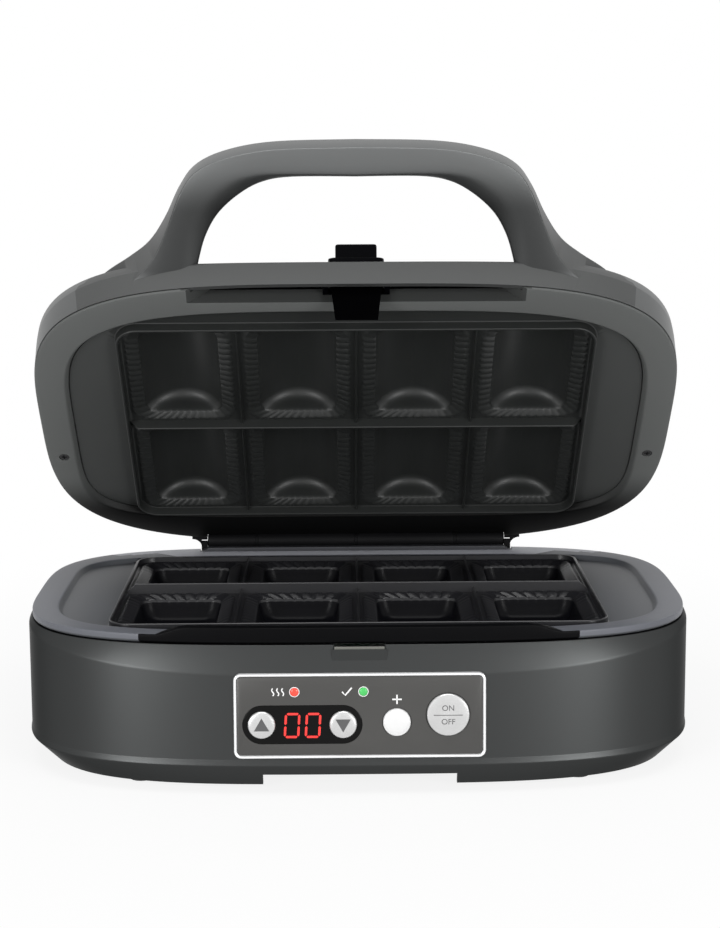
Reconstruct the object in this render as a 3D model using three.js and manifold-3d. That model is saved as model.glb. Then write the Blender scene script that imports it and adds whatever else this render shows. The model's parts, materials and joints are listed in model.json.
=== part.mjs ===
// Countertop pastry maker with eight rectangular pockets, a hinged lid with an
// arch handle, and a keypad panel. Millimetres, +Z up, front towards -Y.
// z = 0 is the worktop; before the last line y = 0 is the middle of the plates.
import * as THREE from 'three';
import { mergeVertices } from 'three/addons/utils/BufferGeometryUtils.js';
import Module from 'manifold-3d';

const wasm = await Module();
wasm.setup();

// ---------------------------------------------------------------- clearances
const SEAT_GAP = 0.3; // between pieces that sit on or in each other
const RUN_GAP = 0.35; // round a button or a pin that moves
const OVERCUT = 1; // how far a cutting tool passes the skin it cuts

// ------------------------------------------------------------ plates, pockets
const CREST_Z = 84; // top of the lower pocket rims
const POCKET_COLUMNS = 4;
const POCKET_ROWS = 2;
const POCKET_PITCH_X = 67.5;
const POCKET_PITCH_Y = 84;
const RIM_WIDTH = 2.4;
const RIM_HEIGHT = 3.3; // rim crest above the pan floor, lower plate
const UPPER_RIM_HEIGHT = 5.5;
const RIM_CORNER = 12;
const CROSS_RIB_WIDTH = 1.8; // ribs between the pockets of one row
const CROSS_RIB_HEIGHT = 2.9;
const MID_RIB_WIDTH = 3; // rib between the rows
const MID_RIB_HEIGHT = 5.9;
const PLATE_WALL = 2.5;
const LEDGE_WIDTH = 64.6; // sloping ledge round each hollow
const LEDGE_LENGTH = 81;
const LEDGE_CORNER = 9.5;
const LEDGE_DROP = 2.6;
const HOLLOW_WIDTH = 47.6;
const HOLLOW_LENGTH = 70;
const HOLLOW_CORNER = 7;
const HOLLOW_DEPTH = 14; // below the pan floor, lower plate
const HOLLOW_TAPER = 5; // drawn in on each side at the bottom
const VAULT_WIDTH = 45.2; // arched hollow of the upper plate
const VAULT_DEPTH = 16;
const PAN_GAP = 12.4; // lower pan floor to upper pan floor, lid shut
const CURVE = 3.5; // superellipse exponent of the outer outlines
const PAN_HALF_WIDTH = 168.5; // the recess inside the ring
const PAN_FRONT = 97;
const PAN_REAR = 88;
const PAN_CURVE = 4;
const PAN_REAR_CURVE = 6;
const RING_DROP = 0.5; // ring face below the rim crest
const PLATE_EDGE = 4.5; // thickness of the ring at its edge
const PLATE_HALF_WIDTH = 183.8;
const PLATE_FRONT = 111;
const PLATE_REAR = 113.5;
const PLATE_REAR_CURVE = 3.8;
const PAD_RADIUS = 6; // pad under the plate that the thermostat bears on
const LIP_RISE = 4.3; // front lip above the ring
const LIP_DEPTH = 6;
const LIP_HALF_WIDTH = 92;
const LIP_RAMP = 16;

// -------------------------------------------------------------------- housing
const HOUSING_WALL = 3;
const CREASE_HALF_WIDTH = 186; // the crease is the widest line of the base
const BODY_FRONT = 121.2;
const BODY_REAR = 118.6;
const CREASE_Z = 15.6;
const BAND_HALF_WIDTH = 185.5; // upper line of the narrow band above the crease
const BAND_FRONT = 119.8;
const BAND_REAR = 117.8;
const BAND_Z = 18.6;
const BODY_HALF_WIDTH = 185.6;
const SHOULDER_FRONT = 116.5; // where the front wall meets the facet
const SHOULDER_REAR = 117;
const SHOULDER_DROP = 13.3; // facet height at the middle of the front
const SHOULDER_CURVE = 3;
const REAR_CHAMFER = 2;
const TOP_HALF_WIDTH = 184;
const TOP_FRONT = 111.6;
const SKIRT_Z = 2.5;
const SKIRT_HALF_WIDTH = 173.6;
const SKIRT_REACH = 112;
const NOTCH_HALF_WIDTH = 51.5;
const NOTCH_Z = 9.7;
const NOTCH_DEPTH = 14;
const COVER_Z = 10.5;
const COVER_THICKNESS = 2.5;
const VENT_SLOTS = 9;
const VENT_PITCH = 12;
const VENT_WIDTH = 3;
const VENT_LENGTH = 46;
const FOOT_RADIUS = 8;
const FOOT_X = 118;
const FOOT_Y = 90;
const SCREW_RADIUS = 1.8;
const SCREW_HEAD_RADIUS = 3.4;
const SCREW_HEAD_HEIGHT = 2;
const SCREW_LENGTH = 12;
const BOSS_RADIUS = 5;
const BOSS_X = 150;
const BOSS_Y = 68;
const BOSS_HEIGHT = 26;
const GLAND_X = 70;
const GLAND_Y = 118;
const GLAND_Z = 34;
const GLAND_RADIUS = 6.5;
const GLAND_FLANGE = 9.5;
const GLAND_BORE = 3.6;

// -------------------------------------------------------------- control panel
const PANEL_WIDTH = 132.6;
const PANEL_HEIGHT = 45.3;
const PANEL_CORNER = 4;
const PANEL_Z = 42.2; // height of the panel's middle
const BEZEL_WIDTH = 1.7;
const BEZEL_PROUD = 1.2;
const FASCIA_THICKNESS = 3;
const FASCIA_PROUD = 0.4;
const POST_RADIUS = 3;
const POST_LENGTH = 7;
const BOARD_THICKNESS = 1.6;
const BOARD_MARGIN = 3;
const KEY_TRAVEL = 1.2;
const KEY_PROUD = 1.6;
const KEY_DEPTH = 6;
const SMALL_KEY = 7.3;
const START_KEY = 11.3;
const WINDOW_WIDTH = 62.8;
const WINDOW_HEIGHT = 20.4;
const WINDOW_THICKNESS = 1.4;
const WINDOW_X = -30.2;
const WINDOW_Z = -4.6;
const KEY_SPREAD = 21.4; // arrow keys from the window's middle
const MORE_KEY_X = 19.4;
const MORE_KEY_Z = -3.6;
const START_KEY_X = 46.3;
const START_KEY_Z = 0.3;
const LAMP_RADIUS = 2.3;
const LAMP_Z = 12.8;
const HEAT_LAMP_X = -34.3;
const READY_LAMP_X = 1.9;
const DIGIT_BLOCK_WIDTH = 26;
const DIGIT_BLOCK_HEIGHT = 17;

// ---------------------------------------------------------------------- hinge
const HINGE_Y = 111.8;
const HINGE_Z = CREST_Z + 4.2;
const LID_OPEN = 48.6; // degrees from shut, as the model stands
const BARREL_RADIUS = 5;
const PIN_RADIUS = 2;
const BARREL_REACH = 94; // outer end of the outer barrels
const BARREL_SPLIT = 63; // between an outer and an inner barrel
const BARREL_GAP = 1.6;
const HINGE_BAY = 98; // half width of the bay in the housing
const BAY_FRONT = 101;
const SHELF_DROP = 8.3; // bay floor below the rim crest
const HINGE_WALL_DEPTH = 5; // low wall in front of the barrels
const HINGE_WALL_TOP = CREST_Z + 2.1;
const HINGE_WALL_DRAFT = 5; // its ends slope in by this much
const HINGE_FLOOR_HALF = 96; // raised floor that the base arms stand on
const HINGE_FLOOR_FRONT = 103;
const HINGE_FLOOR_REAR = 116.6;
const HINGE_FLOOR_Z = CREST_Z - 4.5;
const LID_BAY = 94.4; // half width of the bay in the lid
const LID_BAY_FRONT = 106.2;
const SHELF_THICKNESS = 6;
const ARM_THICKNESS = 4;

// ------------------------------------------------------------------------ lid
const LID_WALL = 3;
const LID_EDGE = CREST_Z + 6.6; // lower edge of the lid, shut
const LID_EDGE_HALF_WIDTH = 186.2;
const LID_EDGE_FRONT = 118.4;
const LID_EDGE_REAR = 113.7;
const LID_HALF_WIDTH = 186.4; // at the nose line
const LID_FRONT = 121.4;
const LID_REAR = 114;
const LID_CURVE = 3.75;
const LID_REAR_CURVE = 3.45;
const NOSE_Z = CREST_Z + 20.4; // line where the band meets the slope
const SLOPE = 36; // degrees, sloped face behind the band
// the lid's skin above the nose line: rise, then what each reach loses: side, front, rear
const LID_CROWN = [[0, 0, 0, 0], [6.6, -0.6, 3.5, 0], [12.6, 0.4, 8.1, 1.5], [18.2, 8, 17.6, 7],
  [23.6, 21, 29.4, 19], [27.1, 39, 44.4, 35], [29.6, 85, 72, 66]];
const CROWN_STEPS = 12;
const LID_DOME = [[0.72, 0.55], [0.4, 1], [0.12, 1.15]]; // share of the last reaches, rise above them
const FRAME_THICKNESS = 10;
const FRAME_DROP = 3.8; // the frame's face below the upper pan floor
const FRAME_EDGE_INSET = 0.5; // the frame's face runs out nearly to the lid's edge
const RECESS_HALF_WIDTH = 95; // space over the front lip, its ends slope in
const RECESS_RAMP = 19;
const RECESS_REAR = 105.5;
const RECESS_STEPS = 6;
const LINER_HALF_WIDTH = 100; // thin plate that closes the recess from above
const LINER_FRONT = 113.6;
const LINER_REAR = 104;
const LINER_THICKNESS = 1;
const LINER_GAP = 19.5; // half width of its opening for the latch
const FRAME_SCREW_X = 176;
const FRAME_SCREW_Y = 28;
const FRAME_SCREW_RADIUS = 2.8;

// --------------------------------------------------------------------- handle
const HANDLE_LEAN = 58; // degrees from upright, lid shut
// half arch from the middle to the foot, points given across and along the leaning face:
// outer edge, inner edge of the face, edge of the opening, how far that lies behind the face,
// depth, its angle above level, and how far the rear outer edge is flared
const ARCH = [
  [0, 62.9, 0, 48.2, 0, 46.2, 2.5, 20, 63, 0],
  [44, 61.9, 42, 48.6, 34, 46.1, 3.5, 20, 63, 0],
  [70, 57.5, 58, 47.6, 51, 42.8, 5.5, 20, 63, 0.3],
  [87, 49.8, 71, 43.6, 64, 35.5, 7, 20, 63, 0.6],
  [96, 37.5, 81, 35.5, 75.5, 25, 7, 20.5, 63.5, 1.2],
  [103, 20, 88.5, 24, 82.5, 13, 5.5, 22, 66, 2.4],
  [111, 3, 93, 11, 86.5, 0, 4, 25, 70, 4.2],
  [122, -9, 95, -3, 89, -12, 3, 27.5, 74, 5],
  [138, -19.5, 96, -14, 94, -24, 2, 27.5, 77, 3],
  [155, -27.5, 100, -26, 102, -33, 1, 14, 79, 0],
];
const ARCH_STATIONS = 18;

// ---------------------------------------------------------------------- latch
const TONGUE_Y = -111.85;
const TONGUE_THICKNESS = 1;
const TONGUE_ROOT = 14.5;
const TONGUE_TIP = 11.6;
const TONGUE_TOP_Z = CREST_Z + 15;
const TONGUE_TIP_Z = CREST_Z - 14;
const BARB_DEPTH = 1.1;
const BARB_HEIGHT = 2.2;
const CATCH_Y = -110.9; // face of the bar that the barb hooks under
const CATCH_DEPTH = 4;
const CATCH_Z = TONGUE_TIP_Z + BARB_HEIGHT + 0.4;
const LATCH_PIN_RADIUS = 1.4;
const LATCH_PIN_LENGTH = 36;
const SLOT_HALF_WIDTH = 13.6;
const SLOT_FRONT = 113.4;
const GUARD_HALF_WIDTH = 14.4; // thin wall that closes the front of the slot
const GUARD_THICKNESS = 0.7;
const GUARD_DROP = 0.4; // its top below the top of the housing
const LATCH_KEY_WIDTH = 23;
const LATCH_KEY_DEPTH = 11;
const LATCH_KEY_HEIGHT = 10.6; // above the sloped face
const LATCH_KEY_SETBACK = 9.4; // middle of the key behind the nose line
const LATCH_TRAVEL = 2;
const COLLAR_WIDTH = 31;
const COLLAR_DEPTH = 16.5;
const COLLAR_HEIGHT = 2.8;

// -------------------------------------------------------------------- heating
const HEATER_RADIUS = 3.25;
const HEATER_HALF_X = 112;
const HEATER_HALF_Y = 56;
const HEATER_CORNER = 12;
const HEATER_TAIL = 30; // gap between the two ends
const HEATER_SIDES = 10;
const TRAY_WALL = 1.2;
const TRAY_HALF_X = 130;
const TRAY_HALF_Y = 81.4;
const TRAY_CORNER = 8;

// ------------------------------------------------------------ derived places
const RING_Z = CREST_Z - RING_DROP;
const PAN_Z = CREST_Z - RIM_HEIGHT;
const PAN_UNDER = PAN_Z - PLATE_WALL;
const EDGE_Z = RING_Z - PLATE_EDGE;
const HOUSING_TOP = EDGE_Z - SEAT_GAP;
const UPPER_PAN = PAN_Z + PAN_GAP;
const UPPER_RING = UPPER_PAN - FRAME_DROP;
const UPPER_BACK = UPPER_PAN + PLATE_WALL;
const GRID_X = POCKET_COLUMNS * POCKET_PITCH_X;
const GRID_Y = POCKET_ROWS * POCKET_PITCH_Y;
const POCKET_FLOOR = PAN_Z - HOLLOW_DEPTH;
const SHELF_Z = CREST_Z - SHELF_DROP;
const rad = THREE.MathUtils.degToRad;
const SHOULDER_Z = HOUSING_TOP - REAR_CHAMFER - SHOULDER_DROP;
const PANEL_LEAN = Math.atan2(BAND_FRONT - SHOULDER_FRONT, SHOULDER_Z - BAND_Z);
const PANEL_Y = -BAND_FRONT + (PANEL_Z - BAND_Z) * Math.tan(PANEL_LEAN);

// ------------------------------------------------------------------- materials
const finish = (color, roughness, metalness = 0) =>
  new THREE.MeshStandardMaterial({ color, roughness, metalness });
const SHELL = finish(0x5b5c5d, 0.45, 0.3);
const FRAME = finish(0x48494a, 0.5, 0.2);
const COATING = finish(0x26272b, 0.4, 0.3);
const BLACK = finish(0x101012, 0.4);
const CHROME = finish(0xd8dadc, 0.15, 1);
const STEEL = finish(0x9a9c9f, 0.35, 1);
const PANEL = finish(0x6f6e6c, 0.4, 0.4);
const SILVER = finish(0xc9cbcd, 0.3, 0.6);
const WHITE = finish(0xf4f4f4, 0.3);
const RED = finish(0xd8402f, 0.3);
const GREEN = finish(0x3d9a50, 0.3);
const RUBBER = finish(0x17171a, 0.9);
const BOARD = finish(0x2d6a43, 0.6);

// ------------------------------------------------------------- shape helpers
function toSolid(geometry) {
  const bare = geometry.index ? geometry.clone() : geometry;
  for (const name of Object.keys(bare.attributes)) {
    if (name !== 'position') bare.deleteAttribute(name);
  }
  const merged = mergeVertices(bare, 1e-4);
  return new wasm.Manifold(new wasm.Mesh({
    numProp: 3,
    vertProperties: new Float32Array(merged.attributes.position.array),
    triVerts: new Uint32Array(merged.index.array),
  }));
}

function toGeometry(solid) {
  const mesh = solid.getMesh();
  const geometry = new THREE.BufferGeometry();
  geometry.setAttribute('position', new THREE.BufferAttribute(new Float32Array(mesh.vertProperties), 3));
  geometry.setIndex(new THREE.BufferAttribute(new Uint32Array(mesh.triVerts), 1));
  return geometry;
}

function piece(parent, name, solid, material) {
  const geometry = solid.isBufferGeometry ? solid : toGeometry(solid);
  const mesh = new THREE.Mesh(geometry, material);
  mesh.name = name;
  parent.add(mesh);
  return mesh;
}

// closed skin through rings of equal length, capped at both ends; fan is for ends that aren't flat
function loft(rings, fan = false) {
  const count = rings[0].length;
  const position = rings.flat().flatMap((p) => [p.x, p.y, p.z]);
  const index = [];
  for (let r = 0; r + 1 < rings.length; r += 1) {
    for (let i = 0; i < count; i += 1) {
      const a = r * count + i;
      const b = r * count + ((i + 1) % count);
      index.push(a, b, b + count, a, b + count, a + count);
    }
  }
  const cap = (ring, base, up) => {
    if (fan) {
      for (let i = 1; i + 1 < count; i += 1) {
        index.push(base, base + (up ? i : i + 1), base + (up ? i + 1 : i));
      }
      return;
    }
    const normal = new THREE.Vector3();
    ring.forEach((p, i) => normal.add(p.clone().cross(ring[(i + 1) % count])));
    const axes = [Math.abs(normal.x), Math.abs(normal.y), Math.abs(normal.z)];
    const [u, v] = [['y', 'z'], ['z', 'x'], ['x', 'y']][axes.indexOf(Math.max(...axes))];
    const flat = ring.map((p) => new THREE.Vector2(p[u], p[v]));
    for (const [a, b, c] of THREE.ShapeUtils.triangulateShape(flat, [])) {
      const [q, s, t] = [ring[a], ring[b], ring[c]];
      const facing = s.clone().sub(q).cross(t.clone().sub(q)).dot(normal) > 0;
      if (facing === up) index.push(base + a, base + b, base + c);
      else index.push(base + a, base + c, base + b);
    }
  };
  cap(rings[0], 0, false);
  cap(rings.at(-1), (rings.length - 1) * count, true);
  const geometry = new THREE.BufferGeometry();
  geometry.setAttribute('position', new THREE.Float32BufferAttribute(position, 3));
  geometry.setIndex(index);
  return toSolid(geometry);
}

// superellipse with its own reach to the front and to the rear
function outline({ x, front, rear, curve = CURVE, rearCurve = curve, segments = 56 }) {
  return Array.from({ length: segments }, (_, i) => {
    const angle = ((i + 0.5) / segments) * Math.PI * 2;
    const c = Math.cos(angle);
    const s = Math.sin(angle);
    const [reach, power] = s < 0 ? [front, 2 / curve] : [rear, 2 / rearCurve];
    return new THREE.Vector2(x * Math.sign(c) * Math.abs(c) ** power,
      reach * Math.sign(s) * Math.abs(s) ** power);
  });
}

// Catmull-Rom through equally spaced rows of numbers
function smoothRow(rows, share) {
  const at = share * (rows.length - 1);
  const step = Math.min(Math.floor(at), rows.length - 2);
  const u = at - step;
  const near = [-1, 0, 1, 2].map((o) => rows[THREE.MathUtils.clamp(step + o, 0, rows.length - 1)]);
  return near[1].map((b, i) => {
    const [a, , c, d] = near.map((row) => row[i]);
    return 0.5 * (2 * b + (c - a) * u + (2 * a - 5 * b + 4 * c - d) * u ** 2
      + (3 * b - a - 3 * c + d) * u ** 3);
  });
}

const lift = (points, z) => points.map((p) =>
  new THREE.Vector3(p.x, p.y, typeof z === 'function' ? z(p) : z));

const prism = (points, z0, z1) => loft([lift(points, z0), lift(points, z1)]);

function roundedRect(width, depth, corner, cx = 0, cy = 0, steps = 4) {
  const points = [];
  const r = Math.min(corner, width / 2 - 0.01, depth / 2 - 0.01);
  for (let q = 0; q < 4; q += 1) {
    const sx = q === 0 || q === 3 ? 1 : -1;
    const sy = q < 2 ? 1 : -1;
    for (let i = 0; i <= steps; i += 1) {
      const a = (q + i / steps) * (Math.PI / 2);
      points.push(new THREE.Vector2(cx + sx * (width / 2 - r) + r * Math.cos(a),
        cy + sy * (depth / 2 - r) + r * Math.sin(a)));
    }
  }
  return points;
}

function block(x0, x1, y0, y1, z0, z1) {
  const geometry = new THREE.BoxGeometry(x1 - x0, y1 - y0, z1 - z0);
  return toSolid(geometry.translate((x0 + x1) / 2, (y0 + y1) / 2, (z0 + z1) / 2));
}

// cylinder or cone along an axis, from one coordinate on it to the other
function rod(axis, radius, from, to, at, { segments = 24, endRadius = radius } = {}) {
  const geometry = new THREE.CylinderGeometry(endRadius, radius, to - from, segments);
  geometry.translate(0, (from + to) / 2, 0);
  if (axis === 'z') geometry.rotateX(Math.PI / 2);
  if (axis === 'x') geometry.rotateZ(-Math.PI / 2);
  return toSolid(geometry.translate(...at));
}

const join = (solids) => solids.reduce((sum, solid) => sum.add(solid));
const cut = (solid, tools) => tools.reduce((rest, tool) => rest.subtract(tool), solid);

function pocketCentres() {
  const centres = [];
  for (let row = 0; row < POCKET_ROWS; row += 1) {
    for (let column = 0; column < POCKET_COLUMNS; column += 1) {
      centres.push([(column - (POCKET_COLUMNS - 1) / 2) * POCKET_PITCH_X,
        (row - (POCKET_ROWS - 1) / 2) * POCKET_PITCH_Y]);
    }
  }
  return centres;
}

// sloping ledge between the rim of a pocket and its hollow; up is 1 on the lower plate, -1 above;
// grow makes the outer skin of the same shape
function ledge([cx, cy], grow, floor, up, [width, length, corner]) {
  const ring = (w, l, r, z) => lift(roundedRect(w + 2 * grow, l + 2 * grow, r + grow, cx, cy, 3), z);
  const deep = floor - up * (LEDGE_DROP + grow);
  const rings = [ring(width, length, corner, deep),
    ring(LEDGE_WIDTH, LEDGE_LENGTH, LEDGE_CORNER, floor - up * grow + up * 0.001)];
  if (grow > 0) rings.push(ring(LEDGE_WIDTH, LEDGE_LENGTH, LEDGE_CORNER, floor));
  return loft(up > 0 ? rings : rings.reverse());
}

// tapered tub under one pocket of the lower plate
function tub([cx, cy], grow) {
  const size = (drawn) => roundedRect(HOLLOW_WIDTH + 2 * (grow - drawn),
    HOLLOW_LENGTH + 2 * (grow - drawn), HOLLOW_CORNER - drawn / 2 + grow, cx, cy, 3);
  return loft([lift(size(HOLLOW_TAPER), POCKET_FLOOR - grow),
    lift(size(HOLLOW_TAPER * 0.45), POCKET_FLOOR + 2.5 - grow),
    lift(size(0), PAN_Z - LEDGE_DROP - grow + 0.002)]);
}

// arched hollow above one pocket of the upper plate; its two end walls roll into the arch
function vault([cx, cy], grow) {
  const z0 = UPPER_PAN + LEDGE_DROP - 0.002;
  const depth = VAULT_DEPTH - LEDGE_DROP + grow;
  const arcs = 8;
  const reach = VAULT_WIDTH / 2 + grow;
  const radius = (reach ** 2 + depth ** 2) / (2 * depth);
  const half = Math.asin(reach / radius);
  const section = (y, drawn) => Array.from({ length: arcs + 1 }, (_, i) => {
    const angle = half - (2 * half * i) / arcs;
    const x = radius * Math.sin(angle);
    const z = radius * Math.cos(angle) - radius + depth;
    return new THREE.Vector3(cx + x * (1 - drawn / reach), y, z0 + z * (1 - drawn / depth));
  });
  const end = HOLLOW_LENGTH / 2 + grow;
  const stations = [[-end, 5.5], [0.6 - end, 3.4], [2.4 - end, 1.2], [6 - end, 0]];
  const mirrored = stations.map(([y, drawn]) => [-y, drawn]).reverse();
  return loft([...stations, ...mirrored].map(([y, drawn]) => section(cy - y, drawn)));
}

// raised rims and ribs between the pockets; up is 1 on the lower plate, -1 above
function rimGrid(floor, up, height) {
  const band = (tall) => {
    const [a, b] = [floor - up * PLATE_WALL / 2, floor + up * tall];
    return [Math.min(a, b), Math.max(a, b)];
  };
  const [low, high] = band(height);
  const frame = prism(roundedRect(GRID_X + RIM_WIDTH, GRID_Y + RIM_WIDTH, RIM_CORNER), low, high)
    .subtract(prism(roundedRect(GRID_X - RIM_WIDTH, GRID_Y - RIM_WIDTH, RIM_CORNER - RIM_WIDTH),
      low - OVERCUT, high + OVERCUT));
  const ribs = [frame];
  for (let i = 1; i < POCKET_COLUMNS; i += 1) {
    const x = (i - POCKET_COLUMNS / 2) * POCKET_PITCH_X;
    ribs.push(block(x - CROSS_RIB_WIDTH / 2, x + CROSS_RIB_WIDTH / 2, -GRID_Y / 2, GRID_Y / 2,
      ...band(CROSS_RIB_HEIGHT)));
  }
  const end = GRID_X / 2;
  const slope = MID_RIB_HEIGHT - height;
  const [sunk, start, tall] = [-PLATE_WALL / 2, height, MID_RIB_HEIGHT].map((rise) => floor + up * rise);
  const profile = [[-end, sunk], [end, sunk], [end, start], [end - slope, tall],
    [slope - end, tall], [-end, start]];
  const side = (y) => profile.map(([x, z]) => new THREE.Vector3(x, y, z));
  const sides = [side(MID_RIB_WIDTH / 2), side(-MID_RIB_WIDTH / 2)];
  ribs.push(loft(up > 0 ? sides : sides.reverse()));
  return join(ribs);
}

const panOutline = (grow = 0) => outline({ x: PAN_HALF_WIDTH + grow, front: PAN_FRONT + grow,
  rear: PAN_REAR + grow, curve: PAN_CURVE, rearCurve: PAN_REAR_CURVE });

// ------------------------------------------------------------------ base parts
function lowerPlate() {
  const edge = (grow) => outline({ x: PLATE_HALF_WIDTH + grow, front: PLATE_FRONT + grow,
    rear: PLATE_REAR + grow, rearCurve: PLATE_REAR_CURVE });
  const ring = prism(edge(0), EDGE_Z, RING_Z).subtract(
    loft([lift(panOutline(-1.5), EDGE_Z - OVERCUT), lift(panOutline(-1.5), PAN_Z),
      lift(panOutline(0), RING_Z), lift(panOutline(0), RING_Z + OVERCUT)]));
  const lipTop = RING_Z + LIP_RISE;
  const lipBand = prism(edge(0), EDGE_Z, lipTop)
    .subtract(prism(edge(-LIP_DEPTH), EDGE_Z - OVERCUT, lipTop + OVERCUT));
  const rampSide = (y) => [[-LIP_HALF_WIDTH - LIP_RAMP, EDGE_Z], [LIP_HALF_WIDTH + LIP_RAMP, EDGE_Z],
    [LIP_HALF_WIDTH + LIP_RAMP, RING_Z], [LIP_HALF_WIDTH, lipTop], [-LIP_HALF_WIDTH, lipTop],
    [-LIP_HALF_WIDTH - LIP_RAMP, RING_Z]].map(([x, z]) => new THREE.Vector3(x, y, z));
  const lip = lipBand.intersect(loft([rampSide(0), rampSide(-PLATE_FRONT - OVERCUT)]));
  const floor = prism(panOutline(1), PAN_UNDER, PAN_Z);
  const throat = [HOLLOW_WIDTH, HOLLOW_LENGTH, HOLLOW_CORNER];
  const pockets = (grow) => pocketCentres().flatMap((at) => [tub(at, grow),
    ledge(at, grow, PAN_Z, 1, throat)]);
  const hollows = pockets(0);
  const pad = rod('z', PAD_RADIUS, PAN_UNDER - LEDGE_DROP, PAN_Z, [0, 0, 0]);
  const whole = join([ring, lip, floor, pad, ...pockets(PLATE_WALL), rimGrid(PAN_Z, 1, RIM_HEIGHT)]);
  const bayHalf = HINGE_BAY + 2 * SEAT_GAP;
  const bay = block(-bayHalf, bayHalf, BAY_FRONT, BODY_REAR + OVERCUT, EDGE_Z - OVERCUT,
    RING_Z + OVERCUT);
  return cut(whole, [...hollows, bay]);
}

// the plan outlines of the housing, one for each height that its skin turns at
function housingSkin(inset) {
  const at = (x, front, rear) => outline({ x: x - inset, front: front - inset, rear: rear - inset });
  const facet = (p) => (p.y < 0
    ? SHOULDER_DROP * (1 - Math.abs(p.x / (BODY_HALF_WIDTH - inset)) ** SHOULDER_CURVE)
    : 0);
  const top = inset > 0 ? HOUSING_TOP + OVERCUT : HOUSING_TOP;
  const bottom = inset > 0 ? SKIRT_Z - OVERCUT : SKIRT_Z;
  return loft([
    lift(at(SKIRT_HALF_WIDTH, SKIRT_REACH, SKIRT_REACH), bottom),
    lift(at(CREASE_HALF_WIDTH, BODY_FRONT, BODY_REAR), CREASE_Z),
    lift(at(BAND_HALF_WIDTH, BAND_FRONT, BAND_REAR), BAND_Z),
    lift(at(BODY_HALF_WIDTH, SHOULDER_FRONT, SHOULDER_REAR),
      (p) => HOUSING_TOP - REAR_CHAMFER - inset * 0.4 - facet(p)),
    lift(at(TOP_HALF_WIDTH, TOP_FRONT, PLATE_REAR), top),
  ]);
}

const bossPlaces = () => [[-BOSS_X, -BOSS_Y], [BOSS_X, -BOSS_Y], [BOSS_X, BOSS_Y], [-BOSS_X, BOSS_Y]];

function housing() {
  const shell = housingSkin(0).subtract(housingSkin(HOUSING_WALL));
  const bossBase = COVER_Z + COVER_THICKNESS + SEAT_GAP;
  const inside = housingSkin(HOUSING_WALL / 2);
  const bosses = bossPlaces().map(([x, y]) => {
    const column = rod('z', BOSS_RADIUS, bossBase, bossBase + BOSS_HEIGHT, [x, y, 0]);
    const wall = Math.sign(x) * BODY_HALF_WIDTH;
    const web = block(Math.min(x, wall), Math.max(x, wall), y - 1.5, y + 1.5, bossBase,
      bossBase + BOSS_HEIGHT);
    return column.add(web).intersect(inside);
  });
  const shelf = block(-HINGE_BAY - HOUSING_WALL, HINGE_BAY + HOUSING_WALL, BAY_FRONT - HOUSING_WALL,
    BODY_REAR, SHELF_Z - SHELF_THICKNESS, SHELF_Z + OVERCUT).intersect(inside);
  const screwHoles = bossPlaces().map(([x, y]) =>
    rod('z', SCREW_RADIUS + SEAT_GAP, bossBase - OVERCUT, bossBase + SCREW_LENGTH + OVERCUT, [x, y, 0]));
  const bay = block(-HINGE_BAY, HINGE_BAY, BAY_FRONT - HOUSING_WALL - OVERCUT, BODY_REAR + OVERCUT,
    SHELF_Z, HOUSING_TOP + OVERCUT);
  const wallY = [BAY_FRONT + 0.4, BAY_FRONT + 0.4 + HINGE_WALL_DEPTH];
  const wallRing = (half, z) => lift([[half, wallY[1]], [-half, wallY[1]], [-half, wallY[0]],
    [half, wallY[0]]].map(([x, y]) => new THREE.Vector2(x, y)), z);
  const hingeWall = loft([wallRing(HINGE_BAY, SHELF_Z - OVERCUT),
    wallRing(HINGE_BAY - HINGE_WALL_DRAFT, HINGE_WALL_TOP)]);
  const hingeFloor = block(-HINGE_FLOOR_HALF, HINGE_FLOOR_HALF, HINGE_FLOOR_FRONT, HINGE_FLOOR_REAR,
    SHELF_Z - OVERCUT, HINGE_FLOOR_Z);
  const notch = block(-NOTCH_HALF_WIDTH, NOTCH_HALF_WIDTH, -BODY_FRONT - OVERCUT,
    -SKIRT_REACH + NOTCH_DEPTH, SKIRT_Z - OVERCUT, NOTCH_Z);
  const slot = block(-SLOT_HALF_WIDTH, SLOT_HALF_WIDTH, -SLOT_FRONT, -PLATE_FRONT + 6,
    TONGUE_TIP_Z - 1, HOUSING_TOP + OVERCUT);
  const catchBar = block(-SLOT_HALF_WIDTH - OVERCUT, SLOT_HALF_WIDTH + OVERCUT, CATCH_Y,
    CATCH_Y + CATCH_DEPTH, CATCH_Z, HOUSING_TOP);
  const guard = block(-GUARD_HALF_WIDTH, GUARD_HALF_WIDTH, -SLOT_FRONT - GUARD_THICKNESS, -SLOT_FRONT,
    TONGUE_TIP_Z - 1, HOUSING_TOP - GUARD_DROP);
  const cable = rod('y', GLAND_RADIUS + SEAT_GAP, GLAND_Y - 12, GLAND_Y + 4, [GLAND_X, 0, GLAND_Z]);
  return cut(join([shell, ...bosses, shelf]), [...screwHoles, bay, notch, slot, cable, panelWindow()])
    .add(join([catchBar, guard, hingeWall, hingeFloor]));
}

function panelWindow() {
  const grow = 2 * SEAT_GAP;
  const tool = prism(roundedRect(PANEL_WIDTH + grow, PANEL_HEIGHT + grow, PANEL_CORNER), -12, 12);
  return tool.rotate([90 - THREE.MathUtils.radToDeg(PANEL_LEAN), 0, 0]).translate([0, PANEL_Y, PANEL_Z]);
}

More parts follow.
